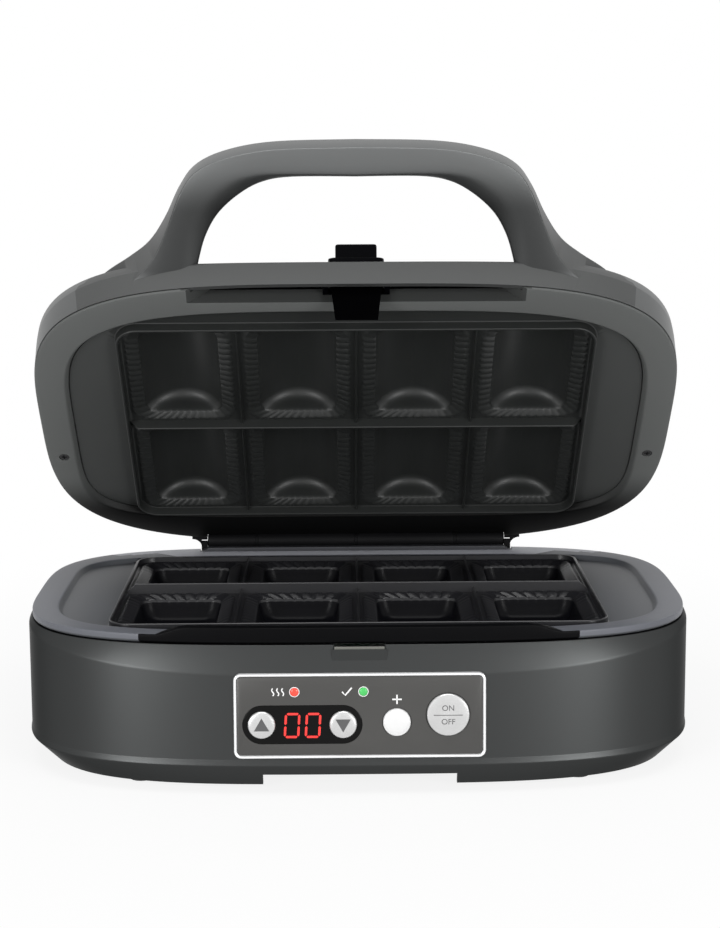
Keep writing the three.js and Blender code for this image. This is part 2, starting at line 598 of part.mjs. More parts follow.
function bottomCover() {
  const share = (COVER_Z - SKIRT_Z) / (CREASE_Z - SKIRT_Z);
  const inset = HOUSING_WALL + SEAT_GAP;
  const reach = (low, high) => low + (high - low) * share - inset;
  const edge = outline({ x: reach(SKIRT_HALF_WIDTH, CREASE_HALF_WIDTH),
    front: reach(SKIRT_REACH, BODY_FRONT), rear: reach(SKIRT_REACH, BODY_REAR) });
  const plate = prism(edge, COVER_Z, COVER_Z + COVER_THICKNESS);
  const slots = Array.from({ length: VENT_SLOTS }, (_, i) => {
    const x = (i - (VENT_SLOTS - 1) / 2) * VENT_PITCH;
    return block(x - VENT_WIDTH / 2, x + VENT_WIDTH / 2, -VENT_LENGTH / 2, VENT_LENGTH / 2,
      COVER_Z - OVERCUT, COVER_Z + COVER_THICKNESS + OVERCUT);
  });
  const screws = bossPlaces().map(([x, y]) => rod('z', SCREW_RADIUS + SEAT_GAP,
    COVER_Z - OVERCUT, COVER_Z + COVER_THICKNESS + OVERCUT, [x, y, 0]));
  return cut(plate, [...slots, ...screws]);
}

function foot() {
  const top = COVER_Z - SEAT_GAP;
  const profile = [[0, 0], [FOOT_RADIUS - 1.5, 0], [FOOT_RADIUS, 1.5], [FOOT_RADIUS, top - 3],
    [FOOT_RADIUS + 2, top - 2], [FOOT_RADIUS + 2, top], [0, top]];
  return toSolid(new THREE.LatheGeometry(profile.map(([r, z]) => new THREE.Vector2(r, z)), 18)
    .rotateX(Math.PI / 2));
}

function screw(headRadius, headHeight, radius, length) {
  const head = rod('z', headRadius, -headHeight, 0, [0, 0, 0], { segments: 14 });
  const shank = rod('z', radius, -0.5, length, [0, 0, 0], { segments: 8 });
  const driver = headRadius * 0.62;
  const slots = [block(-driver, driver, -0.5, 0.5, -headHeight - 1, -headHeight + 0.9),
    block(-0.5, 0.5, -driver, driver, -headHeight - 1, -headHeight + 0.9)];
  return cut(head.add(shank), slots);
}

// heating loop: a rounded rectangle left open at the middle of the rear
function heater(z) {
  const bends = roundedRect(2 * HEATER_HALF_X, 2 * HEATER_HALF_Y, HEATER_CORNER, 0, 0, 3);
  const rear = bends.findIndex((p) => p.x < 0 && p.y > 0);
  const route = [new THREE.Vector2(-HEATER_TAIL / 2, HEATER_HALF_Y), ...bends.slice(rear),
    ...bends.slice(0, rear), new THREE.Vector2(HEATER_TAIL / 2, HEATER_HALF_Y)];
  return loft(route.map((p, i) => {
    const along = route[Math.min(i + 1, route.length - 1)].clone().sub(route[Math.max(i - 1, 0)]);
    const side = new THREE.Vector2(-along.y, along.x).normalize().multiplyScalar(HEATER_RADIUS);
    return Array.from({ length: HEATER_SIDES }, (_, k) => {
      const angle = (k / HEATER_SIDES) * Math.PI * 2;
      return new THREE.Vector3(p.x + side.x * Math.cos(angle), p.y + side.y * Math.cos(angle),
        z + HEATER_RADIUS * Math.sin(angle));
    });
  }));
}

// heat shield: a tray whose rim meets the back of a plate
function tray(rimZ, floorZ) {
  const up = Math.sign(rimZ - floorZ);
  const skin = (inset, from, to) => {
    const points = roundedRect(2 * (TRAY_HALF_X - inset), 2 * (TRAY_HALF_Y - inset), TRAY_CORNER - inset);
    return prism(points, Math.min(from, to), Math.max(from, to));
  };
  return skin(0, floorZ, rimZ).subtract(skin(TRAY_WALL, floorZ + up * TRAY_WALL, rimZ + up * OVERCUT));
}

function knuckle(side, outer, arm) {
  const from = outer ? BARREL_SPLIT + BARREL_GAP / 2 : BARREL_GAP / 2;
  const to = outer ? BARREL_REACH : BARREL_SPLIT - BARREL_GAP / 2;
  const [x0, x1] = side < 0 ? [-to, -from] : [from, to];
  const barrel = rod('x', BARREL_RADIUS, x0, x1, [0, HINGE_Y, HINGE_Z], { segments: 28 });
  const web = block(x0 + 1, x1 - 1, arm.y0, arm.y1, arm.z0, arm.z1);
  const bore = rod('x', PIN_RADIUS + RUN_GAP, x0 - OVERCUT, x1 + OVERCUT, [0, HINGE_Y, HINGE_Z],
    { segments: 20 });
  return barrel.add(web).subtract(bore);
}

// --------------------------------------------------------- control panel parts
// panel pieces are drawn face up and stood against the front wall by their group
const panelPlate = (width, height, corner, z0, z1, x = 0, y = 0) =>
  prism(roundedRect(width, height, corner, x, y), z0, z1);
const keyHole = (radius, x, y) =>
  rod('z', radius, -FASCIA_THICKNESS - POST_LENGTH, FASCIA_PROUD + OVERCUT + 2, [x, y, 0], { segments: 24 });
const arrowKeys = [[WINDOW_X - KEY_SPREAD, WINDOW_Z], [WINDOW_X + KEY_SPREAD, WINDOW_Z]];
const lamps = [[HEAT_LAMP_X, LAMP_Z], [READY_LAMP_X, LAMP_Z]];
const boardFace = FASCIA_PROUD - FASCIA_THICKNESS - POST_LENGTH - SEAT_GAP;
const inner = (size) => size - 2 * BEZEL_WIDTH - 2 * SEAT_GAP;

function bezel() {
  const ring = panelPlate(PANEL_WIDTH, PANEL_HEIGHT, PANEL_CORNER, -HOUSING_WALL, BEZEL_PROUD);
  return ring.subtract(panelPlate(PANEL_WIDTH - 2 * BEZEL_WIDTH, PANEL_HEIGHT - 2 * BEZEL_WIDTH,
    PANEL_CORNER - BEZEL_WIDTH, -HOUSING_WALL - OVERCUT, BEZEL_PROUD + OVERCUT));
}

function fascia() {
  const back = FASCIA_PROUD - FASCIA_THICKNESS;
  const plate = panelPlate(inner(PANEL_WIDTH), inner(PANEL_HEIGHT), PANEL_CORNER - BEZEL_WIDTH,
    back, FASCIA_PROUD);
  const px = inner(PANEL_WIDTH) / 2 - POST_RADIUS - BOARD_MARGIN;
  const py = inner(PANEL_HEIGHT) / 2 - POST_RADIUS - 0.6;
  const posts = [[-px, -py], [px, -py], [px, py], [-px, py]].map(([x, y]) =>
    rod('z', POST_RADIUS, back - POST_LENGTH, back + OVERCUT, [x, y, 0], { segments: 16 }));
  const window = panelPlate(WINDOW_WIDTH + 2 * SEAT_GAP, WINDOW_HEIGHT + 2 * SEAT_GAP,
    WINDOW_HEIGHT, back - OVERCUT, FASCIA_PROUD + OVERCUT, WINDOW_X, WINDOW_Z);
  const holes = [keyHole(SMALL_KEY + RUN_GAP, MORE_KEY_X, MORE_KEY_Z),
    keyHole(START_KEY + RUN_GAP, START_KEY_X, START_KEY_Z),
    ...lamps.map(([x, y]) => keyHole(LAMP_RADIUS + SEAT_GAP, x, y))];
  return cut(join([plate, ...posts]), [window, ...holes]);
}

function displayWindow() {
  const face = FASCIA_PROUD + 0.1;
  const pane = panelPlate(WINDOW_WIDTH, WINDOW_HEIGHT, WINDOW_HEIGHT, face - WINDOW_THICKNESS, face,
    WINDOW_X, WINDOW_Z);
  return cut(pane, arrowKeys.map(([x, y]) => keyHole(SMALL_KEY + RUN_GAP, x, y)));
}

function controlBoard() {
  const plate = panelPlate(inner(PANEL_WIDTH) - 2, inner(PANEL_HEIGHT) - 2, 2,
    boardFace - BOARD_THICKNESS, boardFace);
  const gap = KEY_TRAVEL + 0.4;
  const switches = [...arrowKeys, [MORE_KEY_X, MORE_KEY_Z], [START_KEY_X, START_KEY_Z]].map(([x, y]) =>
    block(x - 3, x + 3, y - 3, y + 3, boardFace - BOARD_THICKNESS / 2, -KEY_DEPTH - gap));
  return join([plate, ...switches]);
}

function key(radius, [x, y], proud = KEY_PROUD) {
  const edge = 0.6;
  const body = rod('z', radius, -KEY_DEPTH, proud - edge, [x, y, 0], { segments: 24 });
  const eased = { segments: 24, endRadius: radius - edge };
  return body.add(rod('z', radius, proud - edge, proud, [x, y, 0], eased));
}

const lamp = ([x, y]) => join([
  rod('z', LAMP_RADIUS, -FASCIA_THICKNESS, FASCIA_PROUD + 0.5, [x, y, 0], { segments: 20 }),
  rod('z', LAMP_RADIUS - 0.4, boardFace + SEAT_GAP, -FASCIA_THICKNESS, [x, y, 0], { segments: 20 })]);

// ------------------------------------------------------------------- lid parts
const lidOutline = (x, front, rear) => outline({ x, front, rear, curve: LID_CURVE,
  rearCurve: LID_REAR_CURVE });

function lidSkin(inset) {
  const at = (x, front, rear) => lidOutline(x - inset, front - inset, rear - inset);
  const bottom = inset > 0 ? LID_EDGE - OVERCUT : LID_EDGE;
  const crown = Array.from({ length: CROWN_STEPS }, (_, i) => {
    const [rise, side, front, rear] = smoothRow(LID_CROWN, (i + 1) / CROWN_STEPS);
    return lift(at(LID_HALF_WIDTH - side, LID_FRONT - front, LID_REAR - rear), NOSE_Z + rise - inset);
  });
  const [rise, side, front, rear] = LID_CROWN.at(-1);
  const dome = LID_DOME.map(([share, above]) => lift(outline({
    x: (LID_HALF_WIDTH - side - inset) * share,
    front: (LID_FRONT - front - inset) * share,
    rear: (LID_REAR - rear - inset) * share,
  }), NOSE_Z + rise + above - inset));
  const skin = loft([
    lift(at(LID_EDGE_HALF_WIDTH, LID_EDGE_FRONT, LID_EDGE_REAR), bottom),
    lift(at(LID_HALF_WIDTH, LID_FRONT, LID_REAR), NOSE_Z - inset * 0.4),
    ...crown, ...dome,
  ]);
  const wedge = block(-LID_HALF_WIDTH - 10, LID_HALF_WIDTH + 10, -60, 160, 0, 90)
    .rotate([SLOPE, 0, 0]);
  return skin.subtract(wedge.translate([0, -LID_FRONT + inset * Math.sin(rad(SLOPE)),
    NOSE_Z - inset * Math.cos(rad(SLOPE))]));
}

// point on the leaning front face of the handle
function onFace(x, along) {
  return new THREE.Vector3(x, -LID_FRONT - along * Math.sin(rad(HANDLE_LEAN)),
    NOSE_Z + along * Math.cos(rad(HANDLE_LEAN)));
}

function handle() {
  const station = (side, share) => {
    const [frontX, frontUp, faceX, faceUp, openX, openUp, bevel, deep, angle, flare] = smoothRow(ARCH, share);
    const into = new THREE.Vector3(0, Math.cos(rad(angle)), Math.sin(rad(angle)));
    const front = onFace(frontX, frontUp);
    const opening = onFace(openX, openUp);
    const back = front.clone().addScaledVector(into, deep).setX(frontX + flare);
    const corners = [front, onFace(faceX, faceUp), opening.clone().addScaledVector(into, bevel),
      opening.clone().addScaledVector(into, deep), back];
    return corners.map((p) => new THREE.Vector3(p.x * side, p.y, p.z));
  };
  const shares = Array.from({ length: ARCH_STATIONS }, (_, i) => i / (ARCH_STATIONS - 1));
  const left = shares.slice(1).reverse().map((share) => station(-1, share));
  const right = shares.map((share) => station(1, share));
  return loft([...left, ...right], true);
}

function lidShell() {
  const hollow = lidSkin(LID_WALL);
  const body = lidSkin(0).add(handle().subtract(block(-90, 90, -LID_FRONT, 0, 0, NOSE_Z)));
  const belowEdge = block(-200, 200, -200, 200, LID_EDGE - 60, LID_EDGE);
  const bay = block(-LID_BAY, LID_BAY, LID_BAY_FRONT, LID_REAR + OVERCUT, LID_EDGE - OVERCUT,
    HINGE_Z + BARREL_RADIUS + 0.4);
  const keyPort = slopeSolid(keyOpening(), -8, 8);
  return cut(body, [hollow, belowEdge, bay, keyPort]);
}

// outline of the opening that the latch button runs in
const keyOpening = () => roundedRect(LATCH_KEY_WIDTH + 2 * RUN_GAP, LATCH_KEY_DEPTH + 2 * RUN_GAP, 2);

// prism standing square on the sloped face behind the nose line
function slopeSolid(points, z0, z1) {
  return prism(points, z0, z1).translate([0, LATCH_KEY_SETBACK, 0]).rotate([SLOPE, 0, 0])
    .translate([0, -LID_FRONT, NOSE_Z]);
}

// the space that the lip of the lower plate stands in; its ends slope in softly
function lipRecess(low, high) {
  const ramp = Array.from({ length: RECESS_STEPS + 1 }, (_, i) => {
    const share = i / RECESS_STEPS;
    return [RECESS_HALF_WIDTH - RECESS_RAMP * share, THREE.MathUtils.lerp(low, high,
      THREE.MathUtils.smoothstep(share, 0, 1))];
  });
  const half = [[RECESS_HALF_WIDTH, low - 8], ...ramp];
  const profile = [...half, ...half.map(([x, z]) => [-x, z]).reverse()];
  const side = (y) => profile.map(([x, z]) => new THREE.Vector3(x, y, z));
  return loft([side(-RECESS_REAR), side(-LID_FRONT - 4)]);
}

function lidFrame() {
  const edge = (inset) => lidOutline(LID_EDGE_HALF_WIDTH - inset, LID_EDGE_FRONT - inset,
    LID_EDGE_REAR - inset);
  const top = UPPER_RING + FRAME_THICKNESS;
  const part = LID_EDGE - SEAT_GAP;
  const ring = prism(edge(FRAME_EDGE_INSET), UPPER_RING, part)
    .add(prism(edge(LID_WALL + 0.4), UPPER_RING, top));
  const hole = loft([lift(panOutline(0), UPPER_RING - OVERCUT), lift(panOutline(0), UPPER_RING),
    lift(panOutline(-1.2), UPPER_PAN), lift(panOutline(-1.2), top + OVERCUT)]);
  const linerFloor = top - 0.2;
  const liner = block(-LINER_HALF_WIDTH, LINER_HALF_WIDTH, -LINER_FRONT, -LINER_REAR, linerFloor,
    linerFloor + LINER_THICKNESS);
  const latchGap = block(-LINER_GAP, LINER_GAP, -LINER_FRONT - OVERCUT, -RECESS_REAR - 0.1,
    linerFloor - OVERCUT, linerFloor + LINER_THICKNESS + OVERCUT);
  const bay = block(-LID_BAY, LID_BAY, LID_BAY_FRONT - 0.2, LID_REAR, UPPER_RING - OVERCUT,
    top + OVERCUT);
  const holes = [-1, 1].map((side) => rod('z', FRAME_SCREW_RADIUS * 0.6 + SEAT_GAP, UPPER_RING - OVERCUT,
    top + OVERCUT, [side * FRAME_SCREW_X, FRAME_SCREW_Y, 0], { segments: 16 }));
  const sinks = [-1, 1].map((side) => rod('z', FRAME_SCREW_RADIUS + SEAT_GAP, UPPER_RING - OVERCUT,
    UPPER_RING + 1.6, [side * FRAME_SCREW_X, FRAME_SCREW_Y, 0], { segments: 20 }));
  return cut(ring, [hole, lipRecess(UPPER_RING - 0.4, top + 2), bay, ...holes, ...sinks])
    .add(liner.subtract(latchGap));
}

function upperPlate() {
  const edge = panOutline(-1.2 - SEAT_GAP);
  const floor = prism(edge, UPPER_PAN, UPPER_BACK);
  const throat = [VAULT_WIDTH, HOLLOW_LENGTH, 1];
  const pockets = (grow) => pocketCentres().flatMap((at) => [vault(at, grow),
    ledge(at, grow, UPPER_PAN, -1, throat)]);
  const within = prism(edge, UPPER_PAN - MID_RIB_HEIGHT - OVERCUT,
    UPPER_PAN + VAULT_DEPTH + PLATE_WALL + OVERCUT);
  const whole = join([floor, ...pockets(PLATE_WALL), rimGrid(UPPER_PAN, -1, UPPER_RIM_HEIGHT)]);
  return cut(whole.intersect(within), pockets(0));
}

function tongue() {
  const taper = [[-TONGUE_ROOT, TONGUE_TOP_Z], [-TONGUE_TIP, TONGUE_TIP_Z], [TONGUE_TIP, TONGUE_TIP_Z],
    [TONGUE_ROOT, TONGUE_TOP_Z]];
  const face = (y) => taper.map(([x, z]) => new THREE.Vector3(x, y, z));
  const blade = loft([face(TONGUE_Y + TONGUE_THICKNESS / 2), face(TONGUE_Y - TONGUE_THICKNESS / 2)]);
  const root = TONGUE_Y + TONGUE_THICKNESS / 2;
  const barb = loft([-TONGUE_TIP, TONGUE_TIP].map((x) => [[root - 0.5, 0], [root, 0],
    [root + BARB_DEPTH, BARB_HEIGHT], [root - 0.5, BARB_HEIGHT]]
    .map(([y, z]) => new THREE.Vector3(x, y, TONGUE_TIP_Z + z))));
  const eye = rod('x', LATCH_PIN_RADIUS + 1.6, -TONGUE_ROOT, TONGUE_ROOT, [0, latchPinY, latchPinZ]);
  const bore = rod('x', LATCH_PIN_RADIUS + RUN_GAP, -TONGUE_ROOT - 1, TONGUE_ROOT + 1,
    [0, latchPinY, latchPinZ]);
  return join([blade, barb, eye]).subtract(bore);
}
const latchPinY = TONGUE_Y + TONGUE_THICKNESS / 2 + 1.2;
const latchPinZ = TONGUE_TOP_Z - 2;

function latchKey() {
  const depth = LID_WALL + 3;
  const body = slopeSolid(roundedRect(LATCH_KEY_WIDTH, LATCH_KEY_DEPTH, 2), -depth, LATCH_KEY_HEIGHT - 1);
  return body.add(slopeSolid(roundedRect(LATCH_KEY_WIDTH - 1.6, LATCH_KEY_DEPTH - 1.6, 1.6),
    LATCH_KEY_HEIGHT - 1.5, LATCH_KEY_HEIGHT));
}

function latchCollar() {
  const ring = slopeSolid(roundedRect(COLLAR_WIDTH, COLLAR_DEPTH, 5), SEAT_GAP, COLLAR_HEIGHT);
  return ring.subtract(slopeSolid(keyOpening(), -OVERCUT, COLLAR_HEIGHT + OVERCUT));
}

// brackets inside the band that carry the two ends of the latch pin
function latchBracket() {
  const y0 = -LID_FRONT + LID_WALL + 2.5;
  const [low, high] = [latchPinZ - 2.6, latchPinZ + 5];
  const arm = (x) => block(x - 1.5, x + 1.5, y0, latchPinY + 4.3, low, high);
  const span = TONGUE_ROOT + 2.5;
  const bridge = block(-span - 1.5, span + 1.5, latchPinY + 3.3, latchPinY + 4.3, low, high);
  const bore = rod('x', LATCH_PIN_RADIUS + SEAT_GAP, -span - 3, span + 3, [0, latchPinY, latchPinZ],
    { segments: 16 });
  return join([arm(-span), arm(span), bridge]).subtract(bore);
}

// -------------------------------------------------------------------- assembly
const maker = new THREE.Group();
const base = new THREE.Group();
maker.add(base);

piece(base, 'base_housing', housing(), SHELL);
piece(base, 'lower_plate', lowerPlate(), COATING);
piece(base, 'bottom_cover', bottomCover(), BLACK);
const corners = [['front_left', -1, -1], ['front_right', 1, -1], ['rear_right', 1, 1], ['rear_left', -1, 1]];
for (const [place, sx, sy] of corners) {
  piece(base, `foot_${place}`, foot(), RUBBER).position.set(sx * FOOT_X, sy * FOOT_Y, 0);
  const coverScrew = screw(SCREW_HEAD_RADIUS, SCREW_HEAD_HEIGHT, SCREW_RADIUS, SCREW_LENGTH);
  piece(base, `cover_screw_${place}`, coverScrew, STEEL)
    .position.set(sx * BOSS_X, sy * BOSS_Y, COVER_Z - SEAT_GAP);
}
// the heating loops run over the backs of the pockets, inside the heat shields
const heaterRoom = SEAT_GAP + 2 * HEATER_RADIUS + SEAT_GAP + TRAY_WALL;
const pocketUnder = POCKET_FLOOR - PLATE_WALL;
const padFace = PAN_UNDER - LEDGE_DROP - SEAT_GAP;
piece(base, 'lower_heater', heater(pocketUnder - SEAT_GAP - HEATER_RADIUS), STEEL);
piece(base, 'lower_reflector', tray(PAN_UNDER - LEDGE_DROP, pocketUnder - heaterRoom), STEEL);
piece(base, 'thermostat', rod('z', PAD_RADIUS, padFace - 9, padFace, [0, 0, 0]), STEEL);
piece(base, 'hinge_pin', rod('x', PIN_RADIUS, -BARREL_REACH + 1, BARREL_REACH - 1, [0, HINGE_Y, HINGE_Z],
  { segments: 20 }), STEEL);
const baseArm = { y0: HINGE_Y - ARM_THICKNESS / 2, y1: HINGE_Y + ARM_THICKNESS / 2,
  z0: HINGE_FLOOR_Z + SEAT_GAP, z1: HINGE_Z };
piece(base, 'base_knuckle_left', knuckle(-1, true, baseArm), FRAME);
piece(base, 'base_knuckle_right', knuckle(1, true, baseArm), FRAME);
const glandBody = rod('y', GLAND_RADIUS, GLAND_Y - 14, GLAND_Y + 3, [GLAND_X, 0, GLAND_Z]);
const glandFlange = rod('y', GLAND_FLANGE, GLAND_Y + 0.5, GLAND_Y + 3, [GLAND_X, 0, GLAND_Z]);
const glandBore = rod('y', GLAND_BORE, GLAND_Y - 20, GLAND_Y + 8, [GLAND_X, 0, GLAND_Z]);
piece(base, 'cord_gland', glandBody.add(glandFlange).subtract(glandBore), RUBBER);
const terminalFloor = COVER_Z + COVER_THICKNESS + SEAT_GAP;
const terminal = block(GLAND_X - 18, GLAND_X + 18, 74, 90, terminalFloor, terminalFloor + 16);
piece(base, 'terminal_block', terminal, WHITE);

const panel = new THREE.Group();
panel.position.set(0, PANEL_Y, PANEL_Z);
panel.rotation.x = Math.PI / 2 - PANEL_LEAN;
base.add(panel);
piece(panel, 'panel_bezel', bezel(), CHROME);
piece(panel, 'panel_fascia', fascia(), PANEL);
piece(panel, 'display_window', displayWindow(), BLACK);
piece(panel, 'display_module', panelPlate(DIGIT_BLOCK_WIDTH, DIGIT_BLOCK_HEIGHT, 1, boardFace + SEAT_GAP,
  FASCIA_PROUD + 0.1 - WINDOW_THICKNESS - SEAT_GAP, WINDOW_X, WINDOW_Z), RED);
piece(panel, 'control_board', controlBoard(), BOARD);
piece(panel, 'up_button', key(SMALL_KEY, arrowKeys[0]), SILVER);
piece(panel, 'down_button', key(SMALL_KEY, arrowKeys[1]), SILVER);
piece(panel, 'more_button', key(SMALL_KEY, [MORE_KEY_X, MORE_KEY_Z]), WHITE);
piece(panel, 'start_button', key(START_KEY, [START_KEY_X, START_KEY_Z], KEY_PROUD + 0.6), SILVER);
piece(panel, 'heating_lamp', lamp(lamps[0]), RED);
piece(panel, 'ready_lamp', lamp(lamps[1]), GREEN);

// the lid is drawn shut and turned about the hinge pin
const lid = new THREE.Group();
lid.position.set(0, HINGE_Y, HINGE_Z);
lid.rotation.x = -rad(LID_OPEN);
const shut = new THREE.Group();
shut.position.set(0, -HINGE_Y, -HINGE_Z);
lid.add(shut);
maker.add(lid);
piece(shut, 'lid_shell', lidShell(), SHELL);
piece(shut, 'lid_frame', lidFrame(), FRAME);
piece(shut, 'upper_plate', upperPlate(), COATING);
const vaultTop = UPPER_PAN + VAULT_DEPTH + PLATE_WALL;
piece(shut, 'upper_heater', heater(vaultTop + SEAT_GAP + HEATER_RADIUS), STEEL);
piece(shut, 'upper_reflector', tray(UPPER_BACK + LEDGE_DROP, vaultTop + heaterRoom), STEEL);
for (const [side, sign] of [['left', -1], ['right', 1]]) {
  const fixing = screw(FRAME_SCREW_RADIUS, 1.2, FRAME_SCREW_RADIUS * 0.6, FRAME_THICKNESS - 1.5);
  piece(shut, `frame_screw_${side}`, fixing, STEEL)
    .position.set(sign * FRAME_SCREW_X, FRAME_SCREW_Y, UPPER_RING + 1.3);
}
const lidArm = { y0: HINGE_Y - BARREL_RADIUS, y1: LID_REAR - 1 - LID_WALL - SEAT_GAP,
  z0: HINGE_Z, z1: HINGE_Z + 16 };
piece(shut, 'lid_knuckle_left', knuckle(-1, false, lidArm), FRAME);
piece(shut, 'lid_knuckle_right', knuckle(1, false, lidArm), FRAME);
piece(shut, 'latch_collar', latchCollar(), BLACK);
piece(shut, 'latch_button', latchKey(), BLACK);
piece(shut, 'latch_tongue', tongue(), BLACK);
piece(shut, 'latch_bracket', latchBracket(), BLACK);
piece(shut, 'latch_pin', rod('x', LATCH_PIN_RADIUS, -LATCH_PIN_LENGTH / 2, LATCH_PIN_LENGTH / 2,
  [0, latchPinY, latchPinZ], { segments: 16 }), STEEL);

// the origin goes to the middle of the space that the maker takes up
maker.updateMatrixWorld(true);
const bounds = new THREE.Box3().setFromObject(maker, true);
maker.position.y = -(bounds.min.y + bounds.max.y) / 2;

export default maker;
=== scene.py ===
# Eight-pocket pastry maker, lid half open. Shapes are drawn in millimetres with the lid shut, in the
# frame that has the middle of the plates at x = y = 0, and placed in metres when a piece is finished.
import json
import math

import bmesh
import bpy
from mathutils import Matrix, Vector


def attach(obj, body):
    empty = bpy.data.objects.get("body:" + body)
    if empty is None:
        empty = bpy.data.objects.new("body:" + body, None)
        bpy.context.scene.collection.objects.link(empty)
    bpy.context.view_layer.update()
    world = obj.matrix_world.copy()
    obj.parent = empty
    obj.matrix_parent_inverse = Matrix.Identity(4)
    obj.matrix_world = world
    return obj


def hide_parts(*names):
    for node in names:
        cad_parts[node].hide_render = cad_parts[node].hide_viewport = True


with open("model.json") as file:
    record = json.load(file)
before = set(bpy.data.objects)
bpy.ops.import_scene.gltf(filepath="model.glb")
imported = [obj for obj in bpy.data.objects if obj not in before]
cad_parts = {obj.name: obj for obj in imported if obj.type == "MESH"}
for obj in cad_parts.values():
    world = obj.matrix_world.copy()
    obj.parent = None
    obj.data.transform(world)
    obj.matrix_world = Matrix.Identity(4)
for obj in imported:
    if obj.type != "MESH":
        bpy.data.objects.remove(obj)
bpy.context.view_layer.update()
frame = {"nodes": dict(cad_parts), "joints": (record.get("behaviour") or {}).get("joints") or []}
print("frame loaded")

maker = {
    "hingeY": 111.8,
    "hingeZ": 88.2,
    "open": 48.6,  # degrees from shut
    "rays": 240,  # corners of every big outline
    "sharp": 32,  # an edge that turns by more degrees than this stays sharp
}
hingeJoint = next(j for j in frame["joints"] if j["name"] == "lid_hinge")
shiftY = hingeJoint["pos_m"][1] * 1000 - maker["hingeY"]
toScene = Matrix.Diagonal((0.001, 0.001, 0.001, 1)) @ Matrix.Translation((0, shiftY, 0))
hinge = Vector((0, maker["hingeY"], maker["hingeZ"]))
openLid = (Matrix.Translation(hinge) @ Matrix.Rotation(-math.radians(maker["open"]), 4, "X")
           @ Matrix.Translation(-hinge))
shutToScene = toScene @ openLid


# shader pieces

def nodeTree(name, inputs, outputs):
    tree = bpy.data.node_groups.new(name, "ShaderNodeTree")
    for label, kind, value in inputs:
        socket = tree.interface.new_socket(name=label, in_out="INPUT", socket_type=kind)
        socket.default_value = value
    for label, kind in outputs:
        tree.interface.new_socket(name=label, in_out="OUTPUT", socket_type=kind)
    return tree, tree.nodes.new("NodeGroupInput"), tree.nodes.new("NodeGroupOutput")


def addNode(tree, kind, values=None, **props):
    node = tree.nodes.new(kind)
    for key, value in props.items():
        setattr(node, key, value)
    for key, value in (values or {}).items():
        node.inputs[key].default_value = value
    return node


def joinNodes(tree, *links):
    # a link says: node, its output, the next node, its input
    for source, output, target, given in links:
        tree.links.new(source.outputs[output], target.inputs[given])


def buildFinishGroup():
    # two close colours mixed in soft clouds, a fine grain for bump, and roughness that follows both
    tree, given, result = nodeTree("mouldedFinish", [
        ("Color", "NodeSocketColor", (0.1, 0.1, 0.1, 1)),
        ("Second Color", "NodeSocketColor", (0.12, 0.12, 0.12, 1)),
        ("Cloud Scale", "NodeSocketFloat", 9.0),
        ("Grain Scale", "NodeSocketFloat", 1800.0),
        ("Roughness", "NodeSocketFloat", 0.4),
        ("Roughness Spread", "NodeSocketFloat", 0.06),
    ], [("Color", "NodeSocketColor"), ("Roughness", "NodeSocketFloat"), ("Height", "NodeSocketFloat")])
    place = addNode(tree, "ShaderNodeTexCoord")
    cloud = addNode(tree, "ShaderNodeTexNoise", {"Detail": 3.0, "Roughness": 0.55})
    grain = addNode(tree, "ShaderNodeTexNoise", {"Detail": 2.0, "Roughness": 0.6})
    mix = addNode(tree, "ShaderNodeMix", data_type="RGBA")
    centre = addNode(tree, "ShaderNodeMath", {1: 0.5}, operation="SUBTRACT")
    spread = addNode(tree, "ShaderNodeMath", operation="MULTIPLY_ADD")
    both = addNode(tree, "ShaderNodeMath", operation="ADD")
    half = addNode(tree, "ShaderNodeMath", {1: 0.5}, operation="MULTIPLY")
    joinNodes(tree,
              (place, "Object", cloud, "Vector"), (place, "Object", grain, "Vector"),
              (given, "Cloud Scale", cloud, "Scale"), (given, "Grain Scale", grain, "Scale"),
              (cloud, "Fac", mix, "Factor"), (given, "Color", mix, 6), (given, "Second Color", mix, 7),
              (mix, 2, result, "Color"), (cloud, "Fac", both, 0), (grain, "Fac", both, 1),
              (both, 0, half, 0), (half, 0, centre, 0), (centre, 0, spread, 0),
              (given, "Roughness Spread", spread, 1), (given, "Roughness", spread, 2),
              (spread, 0, result, "Roughness"), (grain, "Fac", result, "Height"))
    return tree


def buildPaintedShadeGroup():
    # painted shade: how much of a finish's colour is left at a height, less between two heights and full
    # outside them
    tree, given, result = nodeTree("paintedHeightShade", [
        ("Fall Start", "NodeSocketFloat", -2.0), ("Fall End", "NodeSocketFloat", -1.0),
        ("Rise Start", "NodeSocketFloat", -0.5), ("Rise End", "NodeSocketFloat", 0.0),
        ("Level", "NodeSocketFloat", 0.3),
    ], [("Share", "NodeSocketFloat")])
    place = addNode(tree, "ShaderNodeTexCoord")
    split = addNode(tree, "ShaderNodeSeparateXYZ")
    fall = addNode(tree, "ShaderNodeMapRange", {"To Min": 1.0}, interpolation_type="SMOOTHSTEP")
    rise = addNode(tree, "ShaderNodeMapRange", {"To Max": 1.0}, interpolation_type="SMOOTHSTEP")
    larger = addNode(tree, "ShaderNodeMath", operation="MAXIMUM")
    joinNodes(tree,
              (place, "Object", split, 0), (split, "Z", fall, "Value"), (split, "Z", rise, "Value"),
              (given, "Fall Start", fall, "From Min"), (given, "Fall End", fall, "From Max"),
              (given, "Rise Start", rise, "From Min"), (given, "Rise End", rise, "From Max"),
              (given, "Level", fall, "To Max"), (given, "Level", rise, "To Min"),
              (fall, 0, larger, 0), (rise, 0, larger, 1), (larger, 0, result, "Share"))
    return tree


finishGroup = buildFinishGroup()
paintedShadeGroup = buildPaintedShadeGroup()

# what a finish has where its own row says nothing
plainFinish = dict(rough=0.5, spread=0.1, metal=0.0, grain=1500, bump=0.05, cloud=14, spec=0.5)
